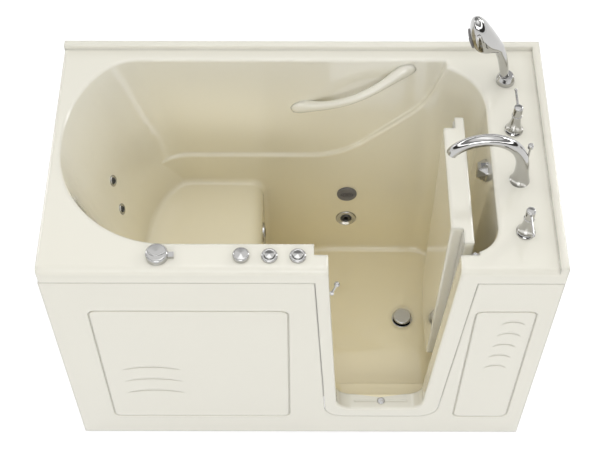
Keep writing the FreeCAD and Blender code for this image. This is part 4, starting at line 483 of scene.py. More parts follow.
@dataclass(frozen=True)
class RawBrass(Finish):
    """Cast and drawn brass, toned by handling."""

    toned: Colour = (0.36, 0.22, 0.09)
    toned_share: float = 0.7
    gloss: float = 0.22
    patches: Grain = Grain(22.0, 5.0)
    patch_dull: float = 0.2
    sand: Grain = Grain(700.0)
    sand_depth: float = 0.00006
    sand_share: float = 0.3

    def paint(self, tree: Shader) -> None:
        """The brass: bright where it was turned, toned in patches.

        Args:
            tree: The material's empty tree.
        """
        patches = tree.noise(self.patches)
        sand = tree.noise(self.sand)
        tree.surface(
            {
                "Base Color": tree.mix(patches * self.toned_share, self.colour, self.toned),
                "Metallic": 1.0,
                "Roughness": patches * self.patch_dull + self.gloss,
                "Normal": tree.bump(sand, self.sand_depth, self.sand_share),
            }
        )


@dataclass(frozen=True)
class Enamelled(Finish):
    """Sprayed enamel on cast metal, with an orange-peel skin."""

    dusty: Colour = (0.24, 0.24, 0.23)
    dust: Grain = Grain(12.0, 4.0)
    dust_share: float = 0.3
    dust_dull: float = 0.2
    gloss: float = 0.3
    peel: Grain = Grain(420.0)
    peel_depth: float = 0.0002
    peel_share: float = 0.3

    def paint(self, tree: Shader) -> None:
        """The enamel: a peel of the spray and slight dust.

        Args:
            tree: The material's empty tree.
        """
        peel = tree.noise(self.peel)
        dust = tree.noise(self.dust)
        tree.surface(
            {
                "Base Color": tree.mix(dust * self.dust_share, self.colour, self.dusty),
                "Roughness": dust * self.dust_dull + self.gloss,
                "Normal": tree.bump(peel, self.peel_depth, self.peel_share),
            }
        )


CREAM = Acrylic("cream_acrylic_sheet", Slot.ACRYLIC, (0.775, 0.752, 0.658))
CREAM_PANEL = replace(CREAM, name="cream_acrylic_panel", edge=0.009)
CHROME = Plated("polished_chrome", Slot.CHROME, (0.53, 0.525, 0.515))
ZINC = Galvanised("galvanised_tube", Slot.STEEL, (0.62, 0.63, 0.64))
BRASS = RawBrass("raw_brass", Slot.BRASS, (0.72, 0.52, 0.24))
PIPE_WHITE = Moulded("pipe_white", Slot.PVC, (0.84, 0.84, 0.81), gloss=0.32, depth=0.00003)
HOSE_MILK = Moulded("hose_milk", Slot.HOSE, (0.72, 0.75, 0.74), gloss=0.38, depth=0.00004)
NOZZLE_DARK = Moulded("nozzle_dark", Slot.DARK, (0.045, 0.043, 0.04), gloss=0.35)
GRILLE_GREY = Moulded("grille_grey", Slot.GREY, (0.17, 0.162, 0.16), gloss=0.34)
FOOT_RUBBER = Moulded("foot_rubber", Slot.RUBBER, (0.035, 0.035, 0.036), gloss=0.62)
SEAL_RUBBER = Moulded("seal_rubber", Slot.SEAL, (0.55, 0.53, 0.47), gloss=0.5)
MOTOR_PAINT = Enamelled("motor_enamel", Slot.MOTOR, (0.05, 0.052, 0.058))


def stood(name: str, data: bpy.types.ID) -> bpy.types.Object:
    """Stands some data in the scene.

    Args:
        name: Name of the object.
        data: Its mesh, light or camera.

    Returns:
        The new object.
    """
    thing = bpy.data.objects.new(name, data)
    bpy.context.scene.collection.objects.link(thing)
    return thing


def plain(thing: bpy.types.Object) -> bpy.types.Mesh:
    """Works out an object's modifiers.

    Args:
        thing: The object.

    Returns:
        What they make, as a new mesh.
    """
    bpy.context.view_layer.update()
    graph = bpy.context.evaluated_depsgraph_get()
    return bpy.data.meshes.new_from_object(thing.evaluated_get(graph))


class Workshop:
    """Makes the pieces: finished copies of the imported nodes, and details on their bodies."""

    weld: float = 1e-6
    broad_weight: int = 80

    def __init__(self, frame: dict[str, Any]) -> None:
        """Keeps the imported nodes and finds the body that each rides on.
        """
        self.nodes: dict[str, bpy.types.Object] = frame["nodes"]
        groups = frame["record"]["behaviour"]["bodies"]
        self.body = {node: body for body, members in groups.items() for node in members}

    def piece(self, name: str, mesh: bpy.types.Mesh, body: str, finish: Finish) -> bpy.types.Object:
        """Adds a piece that rides on a body.

        Args:
            name: Name of the piece.
            mesh: Its mesh, in the frame's own place.
            body: Body that it rides on.
            finish: Its finish.

        Returns:
            The new object.
        """
        thing = stood(name, mesh)
        mesh.materials.clear()
        mesh.materials.append(finish.material())
        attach(thing, body)
        LOG.info("%s: %d faces on %s", name, len(mesh.polygons), body)
        return thing

    def finished(self, node: str, finish: Finish, crease: float = 28.0) -> bpy.types.Object:
        """Stands a smooth-shaded copy of a node in its place.

        Args:
            node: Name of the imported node.
            finish: Finish of the copy.
            crease: Angle in degrees past which an edge stays sharp.

        Returns:
            The copy.
        """
        mesh = self.nodes[node].data.copy()
        mesh.name = f"{node}_finished"
        made = bmesh.new()
        made.from_mesh(mesh)
        bmesh.ops.remove_doubles(made, verts=made.verts, dist=self.weld)
        for face in made.faces:
            face.smooth = True
        limit = math.radians(crease)
        for edge in made.edges:
            edge.smooth = len(edge.link_faces) == 2 and edge.calc_face_angle(math.pi) < limit
        made.to_mesh(mesh)
        made.free()
        copy = self.piece(mesh.name, mesh, self.body[node], finish)
        self.weighted(copy)
        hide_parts(node)
        return copy

    def detail(
        self,
        pattern: Pattern,
        name: str,
        node: str,
        spots: Sequence[Sequence[float]],
        facing: Sequence[float],
        finish: Finish,
        sizes: dict[str, float | int],
    ) -> None:
        """Grows a pattern as a piece on the body of a node.

        Args:
            pattern: The pattern.
            name: Name of the piece.
            node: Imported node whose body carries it.
            spots: Places of the forms.
            facing: Way that the forms stand.
            finish: Their finish.
            sizes: Sizes by the names of the pattern's inputs.
        """
        inputs = {"Finish": finish.material(), "Facing": tuple(facing), **sizes}
        self.piece(name, pattern.grown(name, spots, inputs), self.body[node], finish)

    def weighted(self, thing: bpy.types.Object) -> None:
        """Settles the shading so that broad faces stay flat beside their rounds.

        Args:
            thing: Object whose mesh gets the settled normals.
        """
        modifier = thing.modifiers.new("settled", "WEIGHTED_NORMAL")
        modifier.keep_sharp = True
        modifier.weight = self.broad_weight
        settled = plain(thing)
        thing.modifiers.remove(modifier)
        old = thing.data
        thing.data = settled
        bpy.data.meshes.remove(old)


class Kind(Enum):
    """Kinds of input that a pattern's tree has."""

    SPOTS = "NodeSocketGeometry"
    FINISH = "NodeSocketMaterial"
    WAY = "NodeSocketVector"
    LENGTH = "NodeSocketFloat"
    COUNT = "NodeSocketInt"


class Pattern(Tree):
    """A Geometry Nodes tree that stands one small form on each spot of a mesh."""

    sizes: dict[str, Kind] = {}
    weld: float = 1e-7

    def __init__(self) -> None:
        """Builds the tree: the form, set on the spots, made real and given its finish."""
        super().__init__(bpy.data.node_groups.new(type(self).__name__, "GeometryNodeTree"))
        face = self.tree.interface
        face.new_socket("Geometry", in_out="OUTPUT", socket_type=Kind.SPOTS.value)
        kinds = {"Spots": Kind.SPOTS, "Finish": Kind.FINISH, "Facing": Kind.WAY, **self.sizes}
        self.keys = {
            name: face.new_socket(name, in_out="INPUT", socket_type=kind.value).identifier
            for name, kind in kinds.items()
        }
        self.source = self.tree.nodes.new("NodeGroupInput")
        turn = self.node("FunctionNodeAlignRotationToVector", {"axis": "Z"}, {"Vector": self.size("Facing")})
        spread = self.placed(self.size("Spots"), self.form(), turn)
        real = self.node("GeometryNodeRealizeInstances", {}, {"Geometry": spread})
        dressed = self.node("GeometryNodeSetMaterial", {}, {"Geometry": real, "Material": self.size("Finish")})
        self.node("NodeGroupOutput", {}, {0: dressed})

    def form(self) -> Value:
        """Builds the repeated form at the origin, standing along Z; each pattern has its own."""
        raise NotImplementedError

    def size(self, name: str) -> Value:
        """The tree's input of this name."""
        return Value(self, self.source.outputs[name])

    def placed(self, spots: Value, form: Value, turn: Value | None = None) -> Value:
        """Sets a form on each spot.

        Args:
            spots: Points that get the form.
            form: The form.
            turn: Turn of each copy, where it has one.

        Returns:
            The copies.
        """
        sockets = {"Points": spots, "Instance": form}
        if turn is not None:
            sockets["Rotation"] = turn
        return self.node("GeometryNodeInstanceOnPoints", {}, sockets)

    def circle(self, radius: Value, points: Value | int) -> Value:
        """Adds a round curve.

        Args:
            radius: Its radius.
            points: Number of its points.

        Returns:
            The curve.
        """
        return self.node("GeometryNodeCurvePrimitiveCircle", {}, {"Resolution": points, "Radius": radius}, "Curve")

    def stud(self, sides: int, radius: str, shares: tuple[float, float], height: str, part: float = 1.0) -> Value:
        """Adds a tapered stud that stands on the origin.

        Args:
            sides: Number of its flanks.
            radius: Name of the input with its radius.
            shares: Share of the radius at its foot and at its top.
            height: Name of the input with its height.
            part: Share of that height.

        Returns:
            The stud.
        """
        return self.node(
            "GeometryNodeMeshCone",
            {},
            {
                "Vertices": sides,
                "Radius Bottom": self.size(radius) * shares[0],
                "Radius Top": self.size(radius) * shares[1],
                "Depth": self.size(height) * part,
            },
            "Mesh",
        )

    def grown(self, name: str, spots: Sequence[Sequence[float]], inputs: dict[str, Any]) -> bpy.types.Mesh:
        """Grows the pattern on some spots.

        Args:
            name: Name of the mesh.
            spots: Places of the forms.
            inputs: Values of the tree's inputs, by their names.

        Returns:
            The plain mesh, with its faces outwards.
        """
        seed = bpy.data.meshes.new(f"{name}_spots")
        seed.from_pydata([tuple(spot) for spot in spots], [], [])
        holder = stood(f"{name}_spots", seed)
        modifier = holder.modifiers.new("pattern", "NODES")
        modifier.node_group = self.tree
        for key, value in inputs.items():
            modifier[self.keys[key]] = value
        mesh = plain(holder)
        holder.modifiers.remove(modifier)
        bpy.data.objects.remove(holder)
        bpy.data.meshes.remove(seed)
        mesh.name = name
        made = bmesh.new()
        made.from_mesh(mesh)
        bmesh.ops.remove_doubles(made, verts=made.verts, dist=self.weld)
        bmesh.ops.recalc_face_normals(made, faces=made.faces)
        made.to_mesh(mesh)
        made.free()
        return mesh


class NubRings(Pattern):
    """Three rings of soft nubs round a middle, as on a spray plate."""

    sizes = {"Step": Kind.LENGTH, "Nub Radius": Kind.LENGTH, "Nub Height": Kind.LENGTH}
    rings = ((6, 1.0), (12, 2.0), (18, 3.0))
    nub_sides = 8
    nub_taper = (1.0, 0.6)

    def form(self) -> Value:
        """The rings with a nub on each of their points.

        Returns:
            The form.
        """
        circles = [
            self.node("GeometryNodeMeshCircle", {}, {"Vertices": count, "Radius": self.size("Step") * share})
            for count, share in self.rings
        ]
        around = self.node("GeometryNodeJoinGeometry", {}, {0: circles})
        return self.placed(around, self.stud(self.nub_sides, "Nub Radius", self.nub_taper, "Nub Height"))


class RingRow(Pattern):
    """A row of flat rings on one axis, as a motor's cooling fins or the turns of a thread."""

    sizes = {
        "Count": Kind.COUNT,
        "Step": Kind.LENGTH,
        "Radius": Kind.LENGTH,
        "Proud": Kind.LENGTH,
        "Thick": Kind.LENGTH,
        "Smooth": Kind.COUNT,
    }

    def form(self) -> Value:
        """The row of rings, each a small section carried round a circle.

        Returns:
            The form.
        """
        way = self.node("ShaderNodeCombineXYZ", {}, {"Z": self.size("Step")})
        line = self.node("GeometryNodeMeshLine", {"mode": "OFFSET"}, {"Count": self.size("Count"), "Offset": way})
        circle = self.circle(self.size("Radius"), self.size("Smooth"))
        section = self.node(
            "GeometryNodeCurvePrimitiveQuadrilateral",
            {},
            {"Width": self.size("Proud"), "Height": self.size("Thick")},
            "Curve",
        )
        ring = self.node("GeometryNodeCurveToMesh", {}, {"Curve": circle, "Profile Curve": section})
        return self.placed(line, ring)


class RoundRibs(Pattern):
    """Raised ribs in circles round one middle, as on a suction cover."""

    sizes = {"Radius": Kind.LENGTH, "Rib": Kind.LENGTH}
    shares = (0.30, 0.53, 0.76, 0.95)
    around_points = 48
    section_points = 8

    def form(self) -> Value:
        """The ribs, each a small round section carried round a circle.

        Returns:
            The form.
        """
        circles = [self.circle(self.size("Radius") * share, self.around_points) for share in self.shares]
        section = self.circle(self.size("Rib"), self.section_points)
        around = self.node("GeometryNodeJoinGeometry", {}, {0: circles})
        return self.node("GeometryNodeCurveToMesh", {}, {"Curve": around, "Profile Curve": section})


class PointerLine(Pattern):
    """A raised, bent line across the top of a knob to its pointer."""

    sizes = {"Radius": Kind.LENGTH, "Rib": Kind.LENGTH}
    knots = {"Start": (-0.93, 0.10), "Middle": (-0.25, -0.95), "End": (0.97, 0.05)}
    bend_points = 24
    section_points = 10

    def form(self) -> Value:
        """The line, a small round section carried along a bend.

        Returns:
            The form.
        """
        spots = {
            name: self.node(
                "ShaderNodeCombineXYZ", {}, {"X": self.size("Radius") * x, "Y": self.size("Radius") * y}
            )
            for name, (x, y) in self.knots.items()
        }
        line = self.node("GeometryNodeCurveQuadraticBezier", {}, {"Resolution": self.bend_points, **spots}, "Curve")
        section = self.circle(self.size("Rib"), self.section_points)
        return self.node(
            "GeometryNodeCurveToMesh", {}, {"Curve": line, "Profile Curve": section, "Fill Caps": True}
        )


class BoltRing(Pattern):
    """Hexagon bolts with washers, spaced round a circle."""

    sizes = {"Count": Kind.COUNT, "Ring": Kind.LENGTH, "Bolt Radius": Kind.LENGTH, "Bolt Height": Kind.LENGTH}
    head_sides = 6
    head_taper = (1.0, 0.9)
    washer_sides = 24
    washer_taper = (1.5, 1.42)
    washer_part = 0.3

    def form(self) -> Value:
        """The circle with a bolt and its washer on each point.

        Returns:
            The form.
        """
        around = self.node(
            "GeometryNodeMeshCircle", {}, {"Vertices": self.size("Count"), "Radius": self.size("Ring")}
        )
        head = self.stud(self.head_sides, "Bolt Radius", self.head_taper, "Bolt Height")
        washer = self.stud(self.washer_sides, "Bolt Radius", self.washer_taper, "Bolt Height", self.washer_part)
        return self.placed(around, self.node("GeometryNodeJoinGeometry", {}, {0: [head, washer]}))


class SlottedScrews(Pattern):
    """Raised screw heads, each with its slot."""

    sizes = {"Radius": Kind.LENGTH, "Height": Kind.LENGTH, "Slot": Kind.LENGTH}
    head_sides = 20
    head_taper = (1.0, 0.72)
    blade_reach = 2.4

    def form(self) -> Value:
        """The head less the slot.

        Returns:
            The form.
        """
        head = self.stud(self.head_sides, "Radius", self.head_taper, "Height")
        sides = self.node(
            "ShaderNodeCombineXYZ",
            {},
            {"X": self.size("Radius") * self.blade_reach, "Y": self.size("Slot"), "Z": self.size("Height")},
        )
        block = self.node("GeometryNodeMeshCube", {}, {"Size": sides}, "Mesh")
        lift = self.node("ShaderNodeCombineXYZ", {}, {"Z": self.size("Height")})
        blade = self.node("GeometryNodeTransform", {}, {"Geometry": block, "Translation": lift})
        return self.node("GeometryNodeMeshBoolean", {"operation": "DIFFERENCE"}, {0: head, 1: blade})


@dataclass
class Assembly:
    """What every sub-assembly has: the workshop that makes its pieces."""

    shop: Workshop

    def cover(self, finish: Finish, *nodes: str) -> None:
        """Stands copies of some nodes, with this finish, in their places."""
        for node in nodes:
            self.shop.finished(node, finish)


@dataclass
class Shell(Assembly):
    """The moulded basin, its bar and the panels that close it."""

    crease: float = 26.0
    panels: tuple[str, ...] = ("front_apron", "access_panel_left", "access_panel_right", "end_panel")
    middle: Spot = (0.05, 0.0, 0.62)
    flange_back: float = -0.335
    deck_under: float = 0.93
    skirt_inside: tuple[float, float] = (0.664, 0.372)
    steepest_up: float = 0.5

    def build(self) -> None:
        """Dresses the shell, the grab bar and the panels."""
        self.mark(self.shop.finished("tub_shell", CREAM, self.crease).data)
        self.cover(CREAM_PANEL, "grab_bar", *self.panels)

    def mark(self, mesh: bpy.types.Mesh) -> None:
        """Marks the faces of the bathing space for painted shade and those behind them as backed.

        Args:
            mesh: The shell's mesh.
        """
        drawn = mesh.attributes.new("drawn", "FLOAT", "FACE")
        backed = mesh.attributes.new("backed", "FLOAT", "FACE")
        middle = Vector(self.middle)
        for face in mesh.polygons:
            inwards = face.normal.dot(middle - face.center) > 0
            behind = face.center.y > self.flange_back
            hidden = abs(face.center.x) < self.skirt_inside[0] and face.center.y < self.skirt_inside[1]
            below = face.center.z < self.deck_under and face.normal.z < self.steepest_up
            # Painted shade: inward faces of the bathing space get the mark whose colour deepens with depth.
            drawn.data[face.index].value = float(inwards and behind)
            backed.data[face.index].value = float(behind and hidden and below and not inwards)


@dataclass
class Door(Assembly):
    """The door with its seal, hinges and latch."""

    screw_spots: tuple[Spot, ...] = (
        (0.4465, -0.2692, 0.855),
        (0.4465, -0.2292, 0.855),
        (0.4465, -0.2449, 0.390),
        (0.4465, -0.2049, 0.390),
    )
    screw_facing: Spot = (1.0, 0.0, 0.0)
    screw_radius: float = 0.0042
    screw_height: float = 0.0016
    screw_slot: float = 0.001

    def build(self) -> None:
        """Dresses the door and its hardware."""
        self.dress()
        sizes = {"Radius": self.screw_radius, "Height": self.screw_height, "Slot": self.screw_slot}
        self.shop.detail(
            SlottedScrews(),
            "hinge_leaf_screws",
            "hinge_door_leaves",
            self.screw_spots,
            self.screw_facing,
            CHROME,
            sizes,
        )

    def dress(self) -> None:
        """Gives the door's nodes their finish."""
        self.cover(CREAM_PANEL, "door_panel")
        self.cover(SEAL_RUBBER, "door_seal")
        self.cover(CHROME, "hinge_door_leaves", "hinge_wall_leaves", "latch_lever", "sill_drain_cap")
        self.cover(ZINC, "hinge_pins", "latch_spindle")


@dataclass
class Jets(Assembly):
    """Water jets, suction and drain."""

    cover_facing: Spot = (0.0, -0.997734, 0.067289)
    cover_share: float = 0.9
    rib: float = 0.0009

    def build(self) -> None:
        """Dresses the fittings and sets the ribs on the suction cover."""
        self.dress()
        low, high = (Vector(corner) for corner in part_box("suction_cover"))
        middle = (low + high) / 2
        facing = Vector(self.cover_facing)
        lean_depth = abs(facing.z) * (high.z - low.z) / 2
        face = Vector((middle.x, low.y, middle.z)) - facing * lean_depth
        sizes = {"Radius": (high.x - low.x) / 2 * self.cover_share, "Rib": self.rib}
        self.shop.detail(RoundRibs(), "suction_cover_ribs", "suction_cover", [face], facing, GRILLE_GREY, sizes)

    def dress(self) -> None:
        """Gives the fittings in the basin's wall their finish."""
        self.cover(NOZZLE_DARK, "foot_jet_nozzle", "seat_jet_nozzle", "back_jet_high_nozzle", "back_jet_low_nozzle")
        self.cover(CHROME, "jet_rings", "overflow_knob", "drain_flange", "drain_stopper")
        self.cover(GRILLE_GREY, "suction_cover")


@dataclass
class Plumbing(Assembly):
    """Pump, pipes, frame and what stands behind the panels."""

    white: tuple[str, ...] = (
        "jet_bodies",
        "suction_fitting",
        "overflow_body",
        "drain_shoe",
        "overflow_pipe",
        "jet_manifold",
        "suction_pipe",
        "foot_jet_pipe",
        "seat_jet_pipe",
        "diverter_valve",
        "air_valve",
        "air_pipe",
    )

    motor_spot: Spot = (-0.285, -0.062, 0.162)
    motor_radius: float = 0.068
    fin_count: int = 14
    fin_step: float = 0.010
    fin_proud: float = 0.006
    fin_thick: float = 0.003
    fin_points: int = 64
    volute_face: Spot = (-0.285, 0.034, 0.162)
    bolt_ring: float = 0.070
    bolt_count: int = 8
    bolt_radius: float = 0.005
    bolt_height: float = 0.005
    foot_places: tuple[tuple[float, float], ...] = (
        (-0.6435, -0.3515),
        (-0.6435, 0.3515),
        (-0.040, -0.3515),
        (-0.040, 0.3515),
        (0.6435, -0.3515),
        (0.6435, 0.3515),
    )
    thread_low: float = 0.012
    thread_radius: float = 0.006
    thread_pitch: float = 0.00175
    thread_turns: int = 11
    thread_shares: tuple[float, float] = (0.8, 0.55)
    thread_points: int = 24

    def build(self) -> None:
        """Dresses the hidden works and adds their fins, bolts and threads."""
        self.dress()
        rows = RingRow()
        fins = {
            "Count": self.fin_count,
            "Step": self.fin_step,
            "Radius": self.motor_radius,
            "Proud": self.fin_proud,
            "Thick": self.fin_thick,
            "Smooth": self.fin_points,
        }
        self.shop.detail(rows, "motor_cooling_fins", "pump_motor", [self.motor_spot], FORWARDS, MOTOR_PAINT, fins)
        bolts = {
            "Count": self.bolt_count,
            "Ring": self.bolt_ring,
            "Bolt Radius": self.bolt_radius,
            "Bolt Height": self.bolt_height,
        }
        self.shop.detail(BoltRing(), "volute_bolts", "pump_volute", [self.volute_face], BACKWARDS, ZINC, bolts)
        proud, thick = self.thread_shares
        threads = {
            "Count": self.thread_turns,
            "Step": self.thread_pitch,
            "Radius": self.thread_radius,
            "Proud": self.thread_pitch * proud,
            "Thick": self.thread_pitch * thick,
            "Smooth": self.thread_points,
        }
        stems = [(across, along, self.thread_low) for across, along in self.foot_places]
        self.shop.detail(rows, "foot_stem_threads", "leveling_feet", stems, UP, ZINC, threads)

    def dress(self) -> None:
        """Gives the hidden works their finish."""
        self.cover(PIPE_WHITE, *self.white)
        self.cover(HOSE_MILK, "back_jet_hoses")
        self.cover(ZINC, "support_frame")
        self.cover(FOOT_RUBBER, "leveling_feet", "floor_pads")
        self.cover(NOZZLE_DARK, "pump_volute")
        self.cover(MOTOR_PAINT, "pump_motor")
        self.cover(BRASS, "valve_bodies", "filler_crossbar", "shower_pipe")


@dataclass
class HandShower(Assembly):
    """The hand shower: a bowed handle that swells into a head with a chin and a flat face."""

    foot: Spot = (0.567, 0.247, 0.962)
    tilt: float = 21.0
    sides: int = 40
    steps: int = 4
    oval: float = 2.0
    square: float = 3.0
    head_start: float = 0.130
    head_full: float = 0.160
    rows: tuple[tuple[float, float, float, float], ...] = (
        (0.0000, 0.0000, 0.0122, 0.0119),
        (0.0140, 0.0000, 0.0122, 0.0119),
        (0.0270, -0.0020, 0.0132, 0.0125),
        (0.0500, -0.0062, 0.0142, 0.0132),
        (0.0760, -0.0100, 0.0147, 0.0137),
        (0.1000, -0.0120, 0.0153, 0.0143),
        (0.1200, -0.0118, 0.0162, 0.0150),
        (0.1300, -0.0098, 0.0182, 0.0172),
        (0.1360, -0.0040, 0.0210, 0.0222),
        (0.1420, 0.0028, 0.0245, 0.0278),
        (0.1500, 0.0082, 0.0288, 0.0316),
        (0.1610, 0.0122, 0.0325, 0.0337),
        (0.1750, 0.0151, 0.0352, 0.0337),
        (0.1910, 0.0170, 0.0362, 0.0322),
        (0.2090, 0.0180, 0.0352, 0.0290),
        (0.2280, 0.0180, 0.0312, 0.0240),
        (0.2440, 0.0175, 0.0240, 0.0176),
        (0.2550, 0.0170, 0.0155, 0.0108),
        (0.2605, 0.0166, 0.0065, 0.0045),
    )

    def build(self) -> None:
        """Stands the formed hand shower in the place of its solid."""
        made = bmesh.new()
        rings = [self.ring(made, row) for row in self.smoothed()]
        for low, high in zip(rings, rings[1:]):
            for index in range(self.sides):
                after = (index + 1) % self.sides
                made.faces.new((low[index], low[after], high[after], high[index]))
        made.faces.new(list(reversed(rings[0])))
        made.faces.new(rings[-1])
        bmesh.ops.recalc_face_normals(made, faces=made.faces)
        for face in made.faces:
            face.smooth = len(face.verts) == 4
        mesh = bpy.data.meshes.new("hand_shower_formed")
        made.to_mesh(mesh)
        made.free()
        piece = self.shop.piece(mesh.name, mesh, self.shop.body["hand_shower"], CHROME)
        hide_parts("hand_shower")

    def smoothed(self) -> list[tuple[float, ...]]:
        """Fills in rows between those given, on a smooth curve through all of them.

        Returns:
            All the rows.
        """
        rows = [self.rows[0], *self.rows, self.rows[-1]]
        filled = []
        for before, start, stop, after in zip(rows, rows[1:], rows[2:], rows[3:]):
            for step in range(self.steps):
                share = step / self.steps
                filled.append(tuple(self.between(share, *values) for values in zip(before, start, stop, after)))
        filled.append(self.rows[-1])
        return filled

    @staticmethod
    def between(share: float, before: float, start: float, stop: float, after: float) -> float:
        """One value of a smooth curve.

        Args:
            share: Share of the way from start to stop.
            before: Value before the start.
            start: Value at the start.
            stop: Value at the stop.
            after: Value after the stop.

        Returns:
            The value at that share.
        """
        leave = (stop - before) / 2
        arrive = (after - start) / 2
        square, cube = share**2, share**3
        return (
            (2 * cube - 3 * square + 1) * start
            + (cube - 2 * square + share) * leave
            + (3 * square - 2 * cube) * stop
            + (cube - square) * arrive
        )

    def ring(self, made: bmesh.types.BMesh, row: Sequence[float]) -> list[bmesh.types.BMVert]:
        """Adds one ring of points.

        Args:
            made: Mesh under construction.
            row: Run along the handle, offset to the face, half width and half thickness.

        Returns:
            The ring's points.
        """
        run, out, wide, thick = row
        lean = math.radians(self.tilt)
        along = Vector((-math.sin(lean), 0.0, math.cos(lean)))
        face = Vector((-math.cos(lean), 0.0, -math.sin(lean)))
        across = Vector((0.0, 1.0, 0.0))
        middle = Vector(self.foot) + along * run + face * out
        grown = min(1.0, max(0.0, (run - self.head_start) / (self.head_full - self.head_start)))
        points = []
        for index in range(self.sides):
            angle = 2 * math.pi * index / self.sides
            aside, front = math.cos(angle), math.sin(angle)
            power = self.oval / (self.oval + (self.square - self.oval) * grown) if front > 0 else 1.0
            aside = math.copysign(abs(aside) ** power, aside)
            front = math.copysign(abs(front) ** power, front)
            points.append(made.verts.new(middle + across * (wide * aside) + face * (thick * front)))
        return points


@dataclass
class Deck(Assembly):
    """Controls, filler and hand shower on the deck."""

    bright: tuple[str, ...] = (
        "diverter_knob",
        "air_knob",
        "pump_button",
        "aux_button",
        "button_housings",
        "hot_lever",
        "cold_lever",
        "valve_bells",
        "spout",
        "spout_lift_knob",
        "shower_holder",
    )

    spray_spot: Spot = (0.45154, 0.247, 1.1233)
    spray_facing: Spot = (-0.93358, 0.0, -0.35837)
    spray_step: float = 0.007
    nub_radius: float = 0.0011
    nub_height: float = 0.0016
    line_share: float = 0.86
    line_rib: float = 0.0014

    def build(self) -> None:
        """Dresses the deck fittings, sets the nubs on the spray plate and the line on the diverter knob."""
        self.dress()
        sizes = {"Step": self.spray_step, "Nub Radius": self.nub_radius, "Nub Height": self.nub_height}
        self.shop.detail(
            NubRings(), "spray_nubs", "spray_selector", [self.spray_spot], self.spray_facing, NOZZLE_DARK, sizes
        )
        low, high = (Vector(corner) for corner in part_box("diverter_knob"))
        radius = (high.y - low.y) / 2
        top = Vector((low.x + radius, low.y + radius, high.z))
        sizes = {"Radius": radius * self.line_share, "Rib": self.line_rib}
        self.shop.detail(PointerLine(), "diverter_pointer_line", "diverter_knob", [top], UP, CHROME, sizes)

    def dress(self) -> None:
        """Gives the deck's nodes their finish."""
        self.cover(CHROME, *self.bright)
        self.cover(GRILLE_GREY, "spray_selector")
        HandShower(self.shop).build()


@dataclass(frozen=True)
class Lamp:
    """One soft lamp: where it stands, where it points, its sides and its power in watts."""

    name: str
    spot: Spot
    target: Spot
    sides: tuple[float, float]
    power: float

    def build(self, colour: Colour) -> None:
        """Adds the lamp.

        Args:
            colour: Colour of its light.
        """
        data = bpy.data.lights.new(self.name, "AREA")
        data.shape = "RECTANGLE"
        data.size, data.size_y = self.sides
        data.energy = self.power
        data.color = colour
        lamp = stood(self.name, data)
        lamp.location = self.spot
        aim = Vector(self.target) - Vector(self.spot)
        lamp.rotation_euler = aim.to_track_quat("-Z", "Y").to_euler()


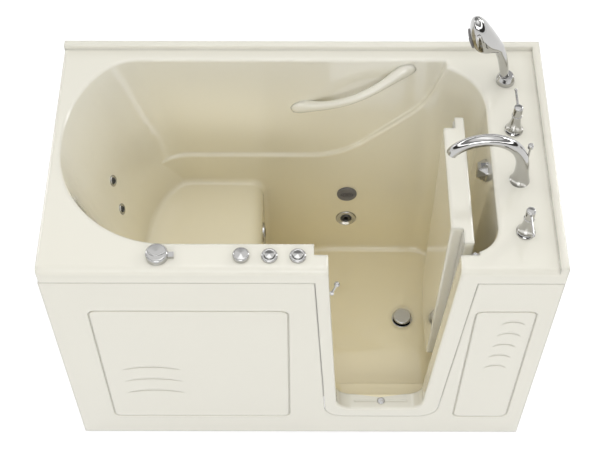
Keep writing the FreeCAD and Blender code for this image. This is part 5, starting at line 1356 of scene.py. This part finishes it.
@dataclass
class Studio:
    """Floor, light and camera of the photograph."""

    lens: float = 76.244
    sensor: float = 36.0
    pitch: float = 56.043
    yaw: float = 0.025
    roll: float = 0.107
    spot: Spot = (-0.00299, -2.06593, 3.66316)
    far: float = 200.0
    floor_side: float = 160.0
    floor_lit: Colour = (0.30, 0.30, 0.30)
    floor_glow: float = 0.80
    floor_plain: Colour = (0.78, 0.78, 0.77)
    daylight: Colour = (0.97, 0.985, 1.0)
    lamps: tuple[Lamp, ...] = (
        Lamp("overhead", (0.1, 0.1, 4.2), (0.0, 0.0, 0.0), (2.4, 1.2), 8.0),
        Lamp("front_fill", (-0.4, -4.3, 2.9), (0.0, 0.0, 0.6), (2.8, 1.4), 35.0),
        Lamp("left_strip", (-3.4, 2.0, 2.6), (0.2, 0.0, 0.6), (0.5, 2.4), 12.0),
        Lamp("right_strip", (3.4, 2.0, 2.6), (-0.2, 0.0, 0.6), (0.5, 2.4), 26.0),
    )
    surround: tuple[tuple[float, Colour], ...] = (
        (0.00, (1.00, 1.00, 1.00)),
        (0.11, (1.00, 1.00, 1.00)),
        (0.13, (0.06, 0.058, 0.055)),
        (0.31, (0.05, 0.048, 0.045)),
        (0.36, (0.30, 0.30, 0.30)),
        (0.39, (3.60, 3.60, 3.60)),
        (0.45, (3.60, 3.60, 3.60)),
        (0.50, (0.30, 0.30, 0.30)),
        (0.72, (0.36, 0.36, 0.36)),
        (0.80, (1.04, 1.04, 1.04)),
        (1.00, (1.04, 1.04, 1.04)),
    )

    def build(self) -> None:
        """Sets the view, the floor, the lamps and the world."""
        scene = bpy.context.scene
        scene.view_settings.view_transform = "Standard"
        self.camera()
        self.floor()
        for lamp in self.lamps:
            lamp.build(self.daylight)
        self.world()

    def camera(self) -> None:
        """The photograph's camera."""
        data = bpy.data.cameras.new("photograph_view")
        data.lens = self.lens
        data.sensor_fit = "HORIZONTAL"
        data.sensor_width = self.sensor
        data.clip_end = self.far
        camera = stood("photograph_view", data)
        turn = Matrix.Rotation(math.radians(self.yaw), 4, "Z")
        turn = turn @ Matrix.Rotation(math.radians(90.0 - self.pitch), 4, "X")
        turn = turn @ Matrix.Rotation(math.radians(self.roll), 4, "Z")
        camera.matrix_world = Matrix.Translation(self.spot) @ turn
        bpy.context.scene.camera = camera

    def floor(self) -> None:
        """A plain white floor that keeps the tub's shadow."""
        half = self.floor_side / 2
        mesh = bpy.data.meshes.new("studio_floor")
        corners = [(-half, -half, 0.0), (half, -half, 0.0), (half, half, 0.0), (-half, half, 0.0)]
        mesh.from_pydata(corners, [], [(0, 1, 2, 3)])
        floor = stood("studio_floor", mesh)
        material = bpy.data.materials.new("studio_floor")
        tree = Shader(material)
        seen = self.seen_directly(tree)
        lit = tree.node("ShaderNodeBsdfDiffuse", {}, {"Color": self.floor_lit})
        glow = tree.node("ShaderNodeEmission", {}, {"Color": (1.0, 1.0, 1.0), "Strength": self.floor_glow})
        both = tree.node("ShaderNodeAddShader", {}, {0: lit, 1: glow})
        dull = tree.node("ShaderNodeBsdfDiffuse", {}, {"Color": self.floor_plain})
        shown = tree.node("ShaderNodeMixShader", {}, {0: seen, 1: dull, 2: both})
        tree.node("ShaderNodeOutputMaterial", {}, {"Surface": shown})
        mesh.materials.append(material)

    @staticmethod
    def seen_directly(tree: Shader) -> Value:
        """One for rays that show the backdrop itself, zero for rays that only carry light.

        Args:
            tree: Tree that the nodes go into.

        Returns:
            The switch.
        """
        eye = tree.node("ShaderNodeLightPath", out="Is Camera Ray")
        mirror = tree.node("ShaderNodeLightPath", out="Is Glossy Ray")
        through = tree.node("ShaderNodeLightPath", out="Is Transmission Ray")
        return eye.most(mirror).most(through)

    def world(self) -> None:
        """A soft surround: pale at the level of the eye, a dark band over it, a bright ring and an even top."""
        world = bpy.data.worlds.new("studio_surround")
        bpy.context.scene.world = world
        tree = Shader(world)
        way = tree.node("ShaderNodeTexCoord", out="Generated")
        height = tree.node("ShaderNodeSeparateXYZ", {}, {0: way}, "Z")
        shades = tree.node("ShaderNodeValToRGB", {"stops": self.surround}, {0: height})
        ground = tree.node("ShaderNodeBackground", {}, {"Color": shades, "Strength": 1.0})
        tree.node("ShaderNodeOutputWorld", {}, {"Surface": ground})


def corners(box: Iterable[Sequence[float]]) -> list[list[float]]:
    """A box's two corners as plain lists.

    Args:
        box: Lowest and highest corner.

    Returns:
        The corners' numbers.
    """
    return [[float(part) for part in corner] for corner in box]


def main() -> None:
    """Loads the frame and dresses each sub-assembly."""
    logging.basicConfig(level=logging.INFO, format="%(message)s")
    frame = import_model()
    shop = Workshop(frame)
    for assembly in (Shell, Door, Jets, Plumbing, Deck):
        assembly(shop).build()
    Studio().build()


if __name__ == "__main__":
    main()
